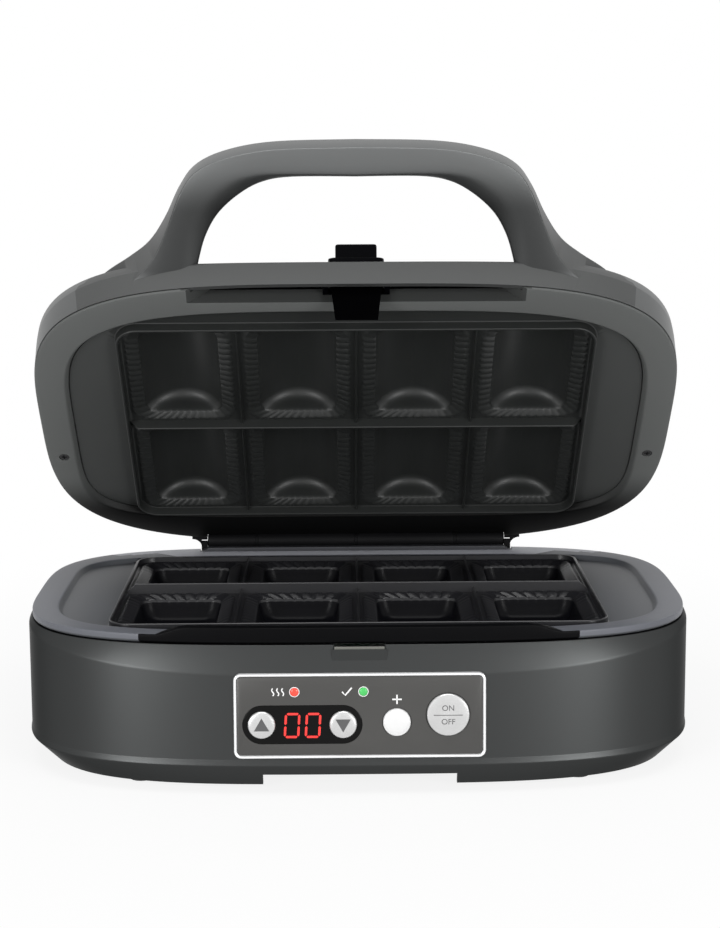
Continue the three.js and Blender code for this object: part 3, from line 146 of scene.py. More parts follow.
# a and b are the two colours that the clouds mix; shade holds the heights and level of the group that darkens
# a colour by height as painted shade
finishes = {
    "shell": dict(a=(0.046, 0.048, 0.048), b=(0.053, 0.055, 0.055), rough=0.38, spread=0.05, metal=1.0,
                  grain=2600, cloud=6, edge=0.45),
    # painted light: a far lighter copy of the base shell's colour for the lid; its shade row paints a band of
    # painted shade at the height of the handle's legs
    "lidShell": dict(a=(0.125, 0.129, 0.129), b=(0.14, 0.144, 0.144), rough=0.4, spread=0.05, metal=0.85,
                     grain=2600, cloud=6, edge=0.9, shade=(0.26, 0.27, 0.3, 0.326, 0.36)),
    # painted shade: a darker copy of the lid's colour for the lid's front-facing lower band
    "lidBandPaintedShade": dict(a=(0.062, 0.064, 0.0635), b=(0.07, 0.072, 0.0715), spread=0.06, grain=2600, bump=0.06,
                    cloud=6, spec=0.2),
    # painted shade: a darker copy of the ring's colour for the faces in the front recess
    "lidRecessPaintedShade": dict(a=(0.042, 0.044, 0.043), b=(0.048, 0.05, 0.049), spread=0.06, grain=2600, bump=0.06,
                      cloud=6, spec=0.1),
    # painted shade: the ring's colour falls to near black towards its lowest part, by the hinge
    "lidRing": dict(a=(0.092, 0.096, 0.094), b=(0.105, 0.109, 0.107), spread=0.06, grain=2600, bump=0.06,
                    cloud=6, spec=0.15, shade=(-2, -1, 0.11, 0.14, 0.01)),
    "wing": dict(a=(0.066, 0.07, 0.077), b=(0.082, 0.086, 0.094), rough=0.42, bump=0.15, spec=0.25),
    "lipCoating": dict(a=(0.0015, 0.0015, 0.0018), b=(0.0025, 0.0025, 0.003), rough=0.4, bump=0.1,
                       spec=0.05),
    # painted shade: the wings' colour fades darker towards the hinge, low in the open lid
    "upperWing": dict(a=(0.04, 0.042, 0.041), b=(0.05, 0.052, 0.051), bump=0.12, spec=0.15,
                      shade=(-2, -1, 0.095, 0.13, 0.12)),
    # painted light: a far lighter copy of the ring's colour for the strip behind the pockets
    "rearPaintedLight": dict(a=(0.5, 0.51, 0.56), b=(0.56, 0.57, 0.62), rough=0.42, bump=0.15, spec=0.25),
    # painted shade: the darkest copy of the plate's finish, for the pocket hollows
    "paintedShadeCoating": dict(a=(0.002, 0.002, 0.003), b=(0.0035, 0.0035, 0.0048), rough=0.34, spread=0.12, bump=0.12,
                    spec=0.08),
    "crimpCoating": dict(a=(0.008, 0.008, 0.0095), b=(0.011, 0.011, 0.013), rough=0.3, spread=0.12,
                         bump=0.2, spec=0.4),
    "ringCoating": dict(a=(0.1, 0.105, 0.12), b=(0.125, 0.13, 0.147), rough=0.42, bump=0.15, spec=0.25),
    "upperCoating": dict(a=(0.014, 0.0152, 0.0146), b=(0.019, 0.0202, 0.0196), rough=0.42, spread=0.12,
                         bump=0.1, spec=0.35),
    "tonguePlastic": dict(a=(0.0006, 0.0006, 0.0007), b=(0.001, 0.001, 0.0012), cloud=30, spec=0.0),
    "darkSteel": dict(a=(0.02, 0.02, 0.021), b=(0.03, 0.03, 0.031), rough=0.4, metal=0.6, cloud=60),
    "ring": dict(a=(0.03, 0.031, 0.036), b=(0.036, 0.037, 0.042), rough=0.38, spread=0.06, metal=0.3,
                 grain=2200, bump=0.06, cloud=8),
    "sill": dict(a=(0.1, 0.1, 0.09), b=(0.12, 0.12, 0.105), spread=0.06, grain=2200, bump=0.06, cloud=30),
    "hingePlastic": dict(a=(0.003, 0.003, 0.0034), b=(0.005, 0.005, 0.0056), grain=900, bump=0.3, cloud=30,
                         spec=0.08),
    "latchPlastic": dict(a=(0.0005, 0.0005, 0.001), b=(0.001, 0.001, 0.0016), rough=0.12, spread=0.04,
                         grain=2000, bump=0.02, cloud=20, spec=0.04),
    "cover": dict(a=(0.02, 0.02, 0.021), b=(0.026, 0.026, 0.027), rough=0.6, grain=1200, bump=0.35,
                  cloud=20),
    "rubber": dict(a=(0.016, 0.016, 0.017), b=(0.022, 0.022, 0.023), rough=0.8, bump=0.3, cloud=40),
    "steel": dict(a=(0.5, 0.5, 0.51), b=(0.6, 0.6, 0.6), rough=0.3, spread=0.15, metal=1.0, cloud=60),
    "chrome": dict(a=(0.88, 0.89, 0.9), b=(0.94, 0.94, 0.95), rough=0.2, spread=0.05, metal=0.5, grain=900,
                   bump=0.01, cloud=30),
    "tray": dict(a=(0.7, 0.7, 0.71), b=(0.78, 0.78, 0.79), rough=0.35, spread=0.15, metal=1.0, grain=700,
                 cloud=20),
    "fascia": dict(a=(0.056, 0.055, 0.053), b=(0.07, 0.069, 0.066), rough=0.3, spread=0.05, metal=0.35,
                   grain=2600, bump=0.03, cloud=25),
    "window": dict(a=(0.001, 0.001, 0.001), b=(0.002, 0.002, 0.002), rough=0.08, spread=0.03, grain=900,
                   bump=0.01, cloud=20, spec=0.15),
    "silverKey": dict(a=(0.55, 0.55, 0.55), b=(0.68, 0.68, 0.68), rough=0.26, metal=0.8, grain=3000,
                      bump=0.04, cloud=120),
    "whiteKey": dict(a=(0.66, 0.66, 0.66), b=(0.74, 0.74, 0.74), rough=0.25, spread=0.06, grain=2500,
                     bump=0.02, cloud=90),
    "board": dict(a=(0.02, 0.12, 0.05), b=(0.03, 0.16, 0.07), grain=900, bump=0.1, cloud=200),
    "ceramic": dict(a=(0.75, 0.74, 0.7), b=(0.8, 0.79, 0.75), rough=0.4, grain=900, cloud=60),
    "whitePrint": dict(a=(0.75, 0.75, 0.75), b=(0.8, 0.8, 0.8), spread=0.05, grain=2500, bump=0.01,
                       cloud=200),
    "darkPrint": dict(a=(0.07, 0.07, 0.072), b=(0.09, 0.09, 0.092), rough=0.45, spread=0.05, grain=2500,
                      bump=0.01, cloud=200),
    "redLens": dict(a=(0.75, 0.05, 0.03), b=(0.85, 0.08, 0.05), rough=0.2, spread=0.05, grain=1800,
                    bump=0.01, cloud=400, glow=0.15),
    "greenLens": dict(a=(0.05, 0.42, 0.09), b=(0.07, 0.5, 0.12), rough=0.2, spread=0.05, grain=1800,
                      bump=0.01, cloud=400, glow=0.12),
    "litDigit": dict(a=(0.62, 0.02, 0.015), b=(0.75, 0.035, 0.03), rough=0.4, spread=0.05, grain=1800,
                     bump=0.01, cloud=300, glow=0.45),
}


def makeFinish(name):
    look = plainFinish | finishes[name]
    material = bpy.data.materials.new(name)
    material.use_nodes = True
    tree = material.node_tree
    shader = tree.nodes["Principled BSDF"]
    shader.inputs["Metallic"].default_value = look["metal"]
    shader.inputs["Specular IOR Level"].default_value = look["spec"]
    if "edge" in look:
        shader.inputs["Specular Tint"].default_value = (look["edge"], look["edge"], look["edge"], 1)
    surface = addNode(tree, "ShaderNodeGroup", {
        "Color": (*look["a"], 1), "Second Color": (*look["b"], 1), "Cloud Scale": look["cloud"],
        "Grain Scale": look["grain"], "Roughness": look["rough"], "Roughness Spread": look["spread"],
    }, node_tree=finishGroup)
    bump = addNode(tree, "ShaderNodeBump", {"Strength": look["bump"], "Distance": 0.0002})
    colour = (surface, "Color")
    # painted shade: a finish with a shade row has its colour darkened by height
    if "shade" in look:
        labels = ("Fall Start", "Fall End", "Rise Start", "Rise End", "Level")
        shade = addNode(tree, "ShaderNodeGroup", dict(zip(labels, look["shade"])), node_tree=paintedShadeGroup)
        dimmed = addNode(tree, "ShaderNodeVectorMath", operation="SCALE")
        joinNodes(tree, (*colour, dimmed, 0), (shade, "Share", dimmed, "Scale"))
        colour = (dimmed, 0)
    joinNodes(tree,
              (*colour, shader, "Base Color"), (surface, "Roughness", shader, "Roughness"),
              (surface, "Height", bump, "Height"), (bump, "Normal", shader, "Normal"))
    if "glow" in look:
        joinNodes(tree, (surface, "Color", shader, "Emission Color"))
        shader.inputs["Emission Strength"].default_value = look["glow"]
    return material


materials = {name: makeFinish(name) for name in finishes}
print("finishes made")


# outlines and rings

def superReach(angle, half, front, rear, frontCurve=3.5, rearCurve=3.5):
    c, s = abs(math.cos(angle)), abs(math.sin(angle))
    reach, curve = (front, frontCurve) if math.sin(angle) < 0 else (rear, rearCurve)
    return 1 / ((c / half) ** curve + (s / reach) ** curve) ** (1 / curve)


def spreadAngles(count, half=184, reach=115, curve=2.6):
    # directions from the middle, closer together where the outlines turn
    angles = []
    for k in range(count):
        t = (k + 0.5) / count * 2 * math.pi
        x = half * math.copysign(abs(math.cos(t)) ** (2 / curve), math.cos(t))
        y = reach * math.copysign(abs(math.sin(t)) ** (2 / curve), math.sin(t))
        angles.append(math.atan2(y, x))
    return angles


rays = spreadAngles(maker["rays"])


def superRing(half, front, rear, height, frontCurve=3.5, rearCurve=3.5):
    # height is a number, or a function of x and y
    def place(k):
        reach = superReach(rays[k], half, front, rear, frontCurve, rearCurve)
        x, y = reach * math.cos(rays[k]), reach * math.sin(rays[k])
        return Vector((x, y, height(x, y) if callable(height) else height))
    return place


def soften(rings, radii, steps=3):
    # rounds the corners of a profile: each inner ring with a radius becomes a few rings on a curve
    out = [rings[0]]
    for before, here, after, radius in zip(rings, rings[1:], rings[2:], radii[1:]):
        if not radius:
            out.append(here)
            continue
        for step in range(steps + 1):
            out.append(cornerRing(before, here, after, radius, step / steps))
    out.append(rings[-1])
    return out


def cornerRing(before, here, after, radius, t):
    def place(k):
        corner = here(k)
        back, ahead = before(k) - corner, after(k) - corner
        p = corner + back.normalized() * min(radius, back.length * 0.48)
        q = corner + ahead.normalized() * min(radius, ahead.length * 0.48)
        return p * (1 - t) ** 2 + corner * 2 * t * (1 - t) + q * t ** 2
    return place


def loftRings(bm, count, rings):
    # returns the first and last loop of edges, for closing
    ray = bm.verts.layers.int.get("ray") or bm.verts.layers.int.new("ray")
    verts = bmesh.ops.create_circle(bm, segments=count, radius=1)["verts"]
    for k, vert in enumerate(verts):
        vert[ray] = k
        vert.co = rings[0](k)
    first = list({edge for vert in verts for edge in vert.link_edges})
    last = first
    for ring in rings[1:]:
        made = bmesh.ops.extrude_edge_only(bm, edges=last)["geom"]
        verts = {v for v in made if isinstance(v, bmesh.types.BMVert)}
        last = [e for e in made if isinstance(e, bmesh.types.BMEdge) and set(e.verts) <= verts]
        for vert in verts:
            vert.co = ring(vert[ray])
    return first, last


def closeLoop(bm, edges):
    bmesh.ops.edgeloop_fill(bm, edges=edges)


def cappedBm(count, rings):
    # lofted rings with a face over each end
    bm = bmesh.new()
    for loop in loftRings(bm, count, rings):
        closeLoop(bm, loop)
    return bm


def hoopBm(count, rings):
    # lofted rings whose last meets the first
    bm = bmesh.new()
    first, last = loftRings(bm, count, rings)
    bmesh.ops.bridge_loops(bm, edges=first + last)
    return bm


def prismBm(points, along):
    # a flat outline of 3-D points, drawn out along a vector
    bm = bmesh.new()
    face = bm.faces.new([bm.verts.new(point) for point in points])
    made = bmesh.ops.extrude_face_region(bm, geom=[face])["geom"]
    bmesh.ops.translate(bm, vec=along, verts=[g for g in made if isinstance(g, bmesh.types.BMVert)])
    bmesh.ops.recalc_face_normals(bm, faces=bm.faces)
    return bm


def ringSize(counts):
    # how many points rectPoints gives
    return 4 * counts[2] + 2 * (counts[0] + counts[1] - 2)


def rectPoints(halfX, halfY, radius, counts, centre=(0, 0)):
    # anticlockwise from the right side's upper end; counts = points on an x side, a y side, a corner
    sideX, sideY, corner = counts
    radius = min(radius, halfX - 0.01, halfY - 0.01)
    points = []
    for quarter in range(4):
        cx = (halfX - radius) * (1 if quarter in (0, 3) else -1)
        cy = (halfY - radius) * (1 if quarter in (0, 1) else -1)
        for i in range(corner):
            a = (quarter + i / (corner - 1)) * math.pi / 2
            x, y = centre[0] + cx + radius * math.cos(a), centre[1] + cy + radius * math.sin(a)
            points.append(Vector((x, y)))
        length, steps = (halfX - radius, sideX) if quarter % 2 == 0 else (halfY - radius, sideY)
        start = points[-1]
        along = Vector(((-1, 0), (0, -1), (1, 0), (0, 1))[quarter])
        for i in range(1, steps):
            points.append(start + along * (2 * length * i / steps))
    return points


def rectRing(points, height):
    def place(k):
        return Vector((points[k].x, points[k].y, height(k) if callable(height) else height))
    return place


# finished pieces

def toMesh(bm, name, matrix):
    bmesh.ops.remove_doubles(bm, verts=bm.verts, dist=0.002)
    bmesh.ops.transform(bm, matrix=matrix, verts=bm.verts)
    bmesh.ops.recalc_face_normals(bm, faces=bm.faces)
    limit = math.radians(maker["sharp"])
    for edge in bm.edges:
        edge.smooth = len(edge.link_faces) == 2 and edge.calc_face_angle(0) < limit
    for face in bm.faces:
        face.smooth = True
    layer = bm.verts.layers.int.get("ray")
    if layer:
        bm.verts.layers.int.remove(layer)
    mesh = bpy.data.meshes.new(name)
    bm.to_mesh(mesh)
    bm.free()
    return mesh


def addPiece(name, bm, finish, body, replaced=(), matrix=None, more=()):
    # more names the finishes that faces with a material index above 0 have
    matrix = matrix or (shutToScene if body in lidBodies else toScene)
    piece = bpy.data.objects.new(name, toMesh(bm, name, matrix))
    bpy.context.scene.collection.objects.link(piece)
    for look in (finish, *more):
        piece.data.materials.append(materials[look])
    if replaced:
        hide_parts(*replaced)
    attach(piece, body)


lidBodies = ("lid", "latch_button", "latch_tongue")


def carve(bm, cutters, operation="DIFFERENCE"):
    # exact boolean of one bmesh with others; gives back a new bmesh
    scene = bpy.context.scene
    target = bpy.data.objects.new("carved", bpy.data.meshes.new("carved"))
    bmesh.ops.remove_doubles(bm, verts=bm.verts, dist=0.001)
    bmesh.ops.recalc_face_normals(bm, faces=bm.faces)
    bm.to_mesh(target.data)
    bm.free()
    scene.collection.objects.link(target)
    tools = []
    for cutter in cutters:
        bmesh.ops.recalc_face_normals(cutter, faces=cutter.faces)
        mesh = bpy.data.meshes.new("tool")
        cutter.to_mesh(mesh)
        cutter.free()
        tool = bpy.data.objects.new("tool", mesh)
        scene.collection.objects.link(tool)
        tools.append(tool)
        modifier = target.modifiers.new("cut", "BOOLEAN")
        modifier.operation = operation
        modifier.solver = "EXACT"
        modifier.object = tool
    bpy.context.view_layer.update()
    carved = bmesh.new()
    carved.from_object(target, bpy.context.evaluated_depsgraph_get())
    for thing in [target, *tools]:
        bpy.data.objects.remove(thing)
    return carved


def placed(bm, matrix):
    bmesh.ops.transform(bm, matrix=matrix, verts=bm.verts)
    return bm


def easeEdges(bm, edges, offset, segments=2):
    bmesh.ops.bevel(bm, geom=edges, offset=offset, segments=segments, profile=0.5, affect="EDGES",
                    material=-1)


def boxBm(x0, x1, y0, y1, z0, z1):
    bm = bmesh.new()
    size = Matrix.Diagonal((x1 - x0, y1 - y0, z1 - z0, 1))
    place = Matrix.Translation(((x0 + x1) / 2, (y0 + y1) / 2, (z0 + z1) / 2))
    bmesh.ops.create_cube(bm, size=1, matrix=place @ size)
    return bm


def plateBm(halfX, halfY, radius, z0, z1, centre=(0, 0), corner=8, edge=0.0):
    # rounded plate with its upper edge eased
    counts = (1, 1, corner)
    wide = rectPoints(halfX, halfY, radius, counts, centre)
    rings = [rectRing(wide, z0), rectRing(wide, z1 - edge)]
    if edge:
        near = rectPoints(halfX - edge * 0.3, halfY - edge * 0.3, radius - edge * 0.3, counts, centre)
        top = rectPoints(halfX - edge, halfY - edge, max(radius - edge, 0.05), counts, centre)
        rings += [rectRing(near, z1 - edge * 0.3), rectRing(top, z1)]
    return cappedBm(len(wide), rings)


def spinProfile(profile, segments, closed=False):
    # (radius, height) points turned once about z; a closed profile makes a hoop
    bm = bmesh.new()
    verts = [bm.verts.new((r, 0, z)) for r, z in profile]
    following = verts[1:] + (verts[:1] if closed else [])
    edges = [bm.edges.new(pair) for pair in zip(verts, following)]
    bmesh.ops.spin(bm, geom=verts + edges, cent=(0, 0, 0), axis=(0, 0, 1), angle=2 * math.pi,
                   steps=segments, use_merge=True)
    return bm


def spinBm(profile, segments=32, centre=(0, 0, 0), axis="Z"):
    # profile: (radius, height) from the axis, out and back to it
    bm = spinProfile(profile, segments)
    bmesh.ops.remove_doubles(bm, verts=bm.verts, dist=0.0005)
    turn = {"Z": Matrix.Identity(4), "X": Matrix.Rotation(math.pi / 2, 4, "Y")}[axis]
    placed(bm, Matrix.Translation(centre) @ turn)
    bmesh.ops.recalc_face_normals(bm, faces=bm.faces)
    return bm


def barBm(radius, low, high, segments, centre, axis="Z"):
    return spinBm([(0, low), (radius, low), (radius, high), (0, high)], segments, centre, axis)


def mergeBm(target, *others):
    for other in others:
        mesh = bpy.data.meshes.new("part")
        other.to_mesh(mesh)
        other.free()
        target.from_mesh(mesh)
        bpy.data.meshes.remove(mesh)
    return target


# base housing

housing = {
    "skirt": (173.6, 112, 112, 2.5),
    "crease": (186, 121.2, 118.6, 15.6),
    "band": (185.5, 119.8, 117.8, 18.6),  # a narrow sloping band between the crease and the wall
    "wall": (185.6, 116.5, 117),
    "top": (184, 111.6, 113.5, 78.7),
    "facet": 13.3,  # height of the facet at the middle of the front
    "rearChamfer": 2,
    "thickness": 3,
    "opening": (66.5, 22.8, 4),  # behind the control panel
    "notch": (51.5, 9.7),  # half width and height, under the front
    "latchSlot": (13.6, -113.4, -104),  # half width, front and rear
    "hingeBay": (98, 101, 75.7),  # half width, front and floor
    "slotFace": (-114.1, -113.4), "slotGuard": (14.4, 69, 76.9), "sill": (13.2, 76.8, 78.3),
}


def facetHeight(x, y):
    share = 1 - abs(x / housing["wall"][0]) ** 3 if y < 0 else 0
    return housing["top"][3] - housing["rearChamfer"] - housing["facet"] * share


def makeHousing():
    t = housing["thickness"]
    inner = [tuple(v - t for v in housing[key][:3]) for key in ("top", "wall", "band", "skirt")]
    rings = [
        superRing(*inner[3], 3.0),
        superRing(*housing["skirt"]),
        superRing(*housing["crease"]),
        superRing(*housing["band"]),
        superRing(*housing["wall"], facetHeight),
        superRing(*housing["top"]),
        superRing(*inner[0], housing["top"][3]),
        superRing(*inner[1], lambda x, y: facetHeight(x, y) - 2),
        superRing(*inner[2], 20.0),
        superRing(*inner[3], 3.2),
    ]
    bm = hoopBm(len(rays), soften(rings, [0, 0.8, 0.7, 0.25, 1.0, 0.4, 0.4, 0, 0, 0], steps=3))
    notch, slot, bay = housing["notch"], housing["latchSlot"], housing["hingeBay"]
    cutters = [
        boxBm(-notch[0], notch[0], -130, -98, -1, notch[1]),
        boxBm(-slot[0], slot[0], slot[1], slot[2], 69, 90),
        boxBm(-bay[0], bay[0], bay[1], 125, bay[2], 95),
        placed(plateBm(*housing["opening"], -9, 9), panelPlace()),
    ]
    return carve(bm, cutters)


shelf = {
    "half": 98.3, "topHalf": 93.5, "front": 101.4, "rear": 106.4, "top": 86.1,
    "floorHalf": 96, "floorRear": 116.6, "floorTop": 79.5,
    "cheek": (94.15, 97.9, 106.5, 110.8, 79.6, 88.7),  # closes the gap beside an outer barrel
}


def makeHingeShelf():
    # the low wall and floor that the hinge barrels lie in; its ends slope down to the plate
    half, front, rear = shelf["half"], shelf["front"], shelf["rear"]
    bm = boxBm(-half, half, front, rear, 83, shelf["top"])
    for vert in bm.verts:
        if vert.co.z > 84:
            vert.co.x *= shelf["topHalf"] / half
    top = [edge for edge in bm.edges if min(v.co.z for v in edge.verts) > 84]
    easeEdges(bm, top, 0.9, segments=3)
    parts = [boxBm(-half, half, front, rear, 76, 83.2),
             boxBm(-shelf["floorHalf"], shelf["floorHalf"], 103, shelf["floorRear"], 76, shelf["floorTop"])]
    return carve(bm, parts, "UNION")


panel = {
    "width": 132.6, "height": 45.3, "z": 42.2, "corner": 4, "rim": 1.7, "proud": 1.2,
    "wallRun": (3.3, 44.8),  # how far the front wall leans back over its height
    "window": (-30.2, -4.6, 31.4, 10.2),
    "keySpread": 21.4, "smallKey": 7.3, "startKey": 11.3,
    "moreKey": (19.4, -3.6), "start": (46.3, 0.3),
    "lamps": ((-34.3, 12.8), (1.9, 12.8)), "lampRadius": 2.25,
    "print": (0.4, 0.46),  # the layer that the white signs lie in
}


def panelPlace():
    lean = math.atan2(*panel["wallRun"])
    front, foot = housing["band"][1], housing["band"][3]
    y = -front + (panel["z"] - foot) * math.tan(lean)
    return Matrix.Translation((0, y, panel["z"])) @ Matrix.Rotation(math.pi / 2 - lean, 4, "X")


addPiece("housingShell", makeHousing(), "shell", "base", ["base_housing"])
addPiece("hingeShelf", makeHingeShelf(), "ring", "base")
for side, name in ((-1, "left"), (1, "right")):
    ends = sorted(side * x for x in shelf["cheek"][:2])
    addPiece(f"hingeCheek_{name}", boxBm(*ends, *shelf["cheek"][2:]), "hingePlastic", "base")
guard, sill = (boxBm(-half, half, *housing["slotFace"], low, high)
               for half, low, high in (housing["slotGuard"], housing["sill"]))
easeEdges(sill, sill.edges[:], 0.25)
addPiece("slotGuard", guard, "shell", "base")
addPiece("latchSill", sill, "sill", "base")
print("housing made")


# plates

plate = {
    "pan": (168.5, 97, 88), "panCurves": (4, 6),
    "edge": (183.8, 111, 113.5), "edgeCurves": (3.5, 3.8), "edgeHeight": 4.5,
    "ring": 83.5, "floor": 80.7, "under": 78.2,
    "lipRise": 4.3, "lipDepth": 6, "lipFlat": 92, "lipRamp": 16,
    "pitch": (67.5, 84), "rows": 2, "columns": 4,
    "paintedLightFrom": 93,  # from where the ring has a far lighter finish, as painted light
    "rib": 2.4, "ribTop": 1.3, "ribHeight": 3.3, "thinRib": 2.9, "midExtra": 2.6, "gridCorner": 12,
    "lipFinish": (-103, 118), "pocketSide": 1.6,  # where the lip's finish starts, and how far pockets reach
    "hingeCut": (98.6, 101), "skin": (26.5, 37.5, 9), "skinDepth": 16.5,
}
crimp = {
    "counts": (72, 100, 14), "raise": 0.9, "drop": 2.6, "inset": 1.1, "steps": 8,
}
# slants and depths are for the right, front, left and rear side of a pocket
lowerCrimp = {"outer": (32.3, 40.5, 9.5), "inner": (23.8, 35, 7), "pitch": 6.5, "slants": (2, 3.2, 2, 3.2),
              "depths": (0.0, 1.1, 0.0, 1.1)}
upperCrimp = {"outer": (31.6, 40.5, 9.5), "inner": (22.6, 35, 7), "pitch": 4.6,
              "slants": (-1.0, 1.5, 2.6, 4.6), "depths": (0.6, 0.4, 0.6, 0.4)}
skinCounts = (1, 1, 6)  # as in rectPoints, for the plain side of a pocket


def cellCentres():
    px, py = plate["pitch"]
    rows, columns = plate["rows"], plate["columns"]
    return [((c - (columns - 1) / 2) * px, (r - (rows - 1) / 2) * py)
            for r in range(rows) for c in range(columns)]


def panRing(grow, height):
    half, front, rear = plate["pan"]
    frontCurve, rearCurve = plate["panCurves"]
    return superRing(half + grow, front + grow, rear + grow, height, frontCurve, rearCurve)


def lipHeight(x, y):
    if y > 0:
        return plate["ring"]
    t = (plate["lipFlat"] + plate["lipRamp"] - abs(x)) / plate["lipRamp"]
    t = max(0.0, min(1.0, t))
    return plate["ring"] + plate["lipRise"] * t * t * (3 - 2 * t)


def sideShare(x, y):
    # how much of each side's slant holds in a direction from the middle of a pocket
    around = [max(0.0, x), max(0.0, -y), max(0.0, -x), max(0.0, y)]
    weights = [value ** 3 for value in (around[0] / 24, around[1] / 32, around[2] / 24, around[3] / 32)]
    total = sum(weights)
    return [weight / total for weight in weights]


def crimpRings(centre, floor, up, look):
    # rope-like ridges on the ledge round one hollow; up is 1 or -1
    counts = crimp["counts"]
    outer, inner = look["outer"], look["inner"]
    nominal = rectPoints(*[(a + b) / 2 for a, b in zip(outer, inner)], counts)
    arc = [0.0]
    for p, q in zip(nominal, nominal[1:] + nominal[:1]):
        arc.append(arc[-1] + (q - p).length)
    waves = round(arc[-1] / look["pitch"])
    shares = [sideShare(p.x, p.y) for p in nominal]
    slants = [sum(a * b for a, b in zip(share, look["slants"])) / look["pitch"] for share in shares]
    depths = [sum(a * b for a, b in zip(share, look["depths"])) for share in shares]

    def ridge(k, t):
        # the ledge rolls over its outer edge and slopes to the hollow; ridges are round, valleys sharp
        phase = arc[k] / arc[-1] * waves + slants[k] * t
        wave = abs(math.sin(math.pi * phase)) ** 0.6
        roll = crimp["raise"] * (1 - (1 - min(1.0, t / 0.25)) ** 2)
        slope = crimp["drop"] * max(0.0, (t - 0.12) / 0.88) ** 1.3
        return floor + up * (roll - slope - depths[k] * (1 - wave) * min(1.0, t / 0.12))

    rings = [rectRing(rectPoints(*outer, counts, centre), floor)]
    for step in range(crimp["steps"] + 1):
        t = step / crimp["steps"]
        edge = crimp["inset"]
        size = [a + (b - a) * t for a, b in zip((outer[0] - edge, outer[1] - edge, outer[2]), inner)]
        points = rectPoints(*size, counts, centre)
        rings.append(rectRing(points, lambda k, t=t: ridge(k, t)))
    return rings, ridge


def lowerHollow(centre):
    rings, ridge = crimpRings(centre, plate["floor"], 1, lowerCrimp)
    counts = crimp["counts"]
    halfX, halfY, radius = lowerCrimp["inner"]
    level = plate["floor"] - crimp["drop"]
    for draw, drop, follow in ((0.35, 0.1, 0.75), (0.8, 1.0, 0.2)):
        points = rectPoints(halfX - draw, halfY - draw, radius, counts, centre)
        rings.append(rectRing(points, lambda k, d=drop, f=follow: level - d + (ridge(k, 1) - level) * f))
    deep = 14 - crimp["drop"]
    for draw, drop in ((1.3, 3.6), (2.4, 7.2), (3.1, 8.8), (4.2, 10.4), (5.7, 11.2), (7.5, 11.4)):
        rings.append(rectRing(rectPoints(halfX - draw, halfY - draw, radius, counts, centre), level - drop))
    return rings


def upperHollow(centre):
    rings, ridge = crimpRings(centre, upper["floor"], -1, upperCrimp)
    level = upper["floor"] + crimp["drop"]
    for draw, drop, follow in ((0.3, 0.3, 0.7), (0.7, 1.1, 0.2)):
        points = vaultPoints(centre, 0, -draw)
        rings.append(rectRing(points, lambda k, d=drop, f=follow: level + d + (ridge(k, 1) - level) * f))
    for share in (0.2, 0.33, 0.46, 0.58, 0.69, 0.79, 0.87, 0.93, 0.97, 0.99, 0.998):
        height = level + (upper["vault"] - crimp["drop"]) * share
        rings.append(rectRing(vaultPoints(centre, share, -0.7), height))
    return rings


def vaultPoints(centre, share, grow=0.0, counts=None):
    # one level slice of an arched hollow whose two end walls roll into the arch
    sideX, sideY, corner = counts or crimp["counts"]
    half, length = upperCrimp["inner"][0] + grow, upperCrimp["inner"][1] + grow
    deep, roll = upper["vault"] - crimp["drop"] + grow, upper["roll"]
    radius = (half ** 2 + deep ** 2) / (2 * deep)
    up = radius - deep + deep * share
    last = math.pi / 2
    if radius - up < roll:
        last = math.acos(max(0.0, 1 - max(0.0, radius - up - 0.001) / roll))

    def spot(turn):
        shrink = roll * (1 - math.cos(turn))
        return math.sqrt(max((radius - shrink) ** 2 - up ** 2, 0.0001)), length - roll + roll * math.sin(turn)

    points = []
    for quarter in range(4):
        signX, signY = (1 if quarter in (0, 3) else -1), (1 if quarter in (0, 1) else -1)
        for i in range(corner):
            turn = last * i / (corner - 1)
            x, y = spot(turn if quarter in (0, 2) else last - turn)
            points.append(Vector((centre[0] + signX * x, centre[1] + signY * y)))
        start = points[-1]
        x, y = spot(last if quarter in (0, 2) else 0)
        steps = sideX if quarter % 2 == 0 else sideY
        along = Vector((-2 * x * signX, 0)) if quarter % 2 == 0 else Vector((0, -2 * y * signY))
        for i in range(1, steps):
            points.append(start + along * (i / steps))
    return points


upper = {"crest": 89.8, "floor": 93.1, "back": 95.6, "vault": 16, "roll": 6, "grow": -1.6,
         "ribHeight": 5.5}


def ribGrid(floor, up, height):
    # the raised frame, three thin ribs across and the rib between the rows
    base, top = plate["rib"] / 2 + 0.35, plate["ribTop"] / 2
    halfX, halfY = plate["pitch"][0] * 2, plate["pitch"][1]
    crest = floor + up * height
    counts = (8, 6, 12)

    def loop(grow, z):
        return rectRing(rectPoints(halfX + grow, halfY + grow, plate["gridCorner"] + grow, counts), z)

    rings = [loop(base, floor - up * 0.4), loop(base, floor), loop(base - 0.5, floor + up * 0.4),
             loop(top + 0.1, crest - up * 0.35), loop(top - 0.3, crest), loop(0.3 - top, crest),
             loop(-top - 0.1, crest - up * 0.35), loop(0.5 - base, floor + up * 0.4), loop(-base, floor),
             loop(-base, floor - up * 0.4)]
    thin, low = floor + up * plate["thinRib"], floor + up * plate["ribHeight"]
    tall = floor + up * (plate["ribHeight"] + plate["midExtra"])
    bars = []
    for column in (-1, 0, 1):
        x = column * plate["pitch"][0]
        bars.append(ribBar((x, -halfY, 0), (x, halfY, 0), floor, crest, thin, up, 1.6, 0.5))
    bars.append(ribBar((-halfX, 0, 0), (halfX, 0, 0), floor, low, tall, up, 3.1, 1.5))
    return mergeBm(hoopBm(ringSize(counts), rings), *bars)


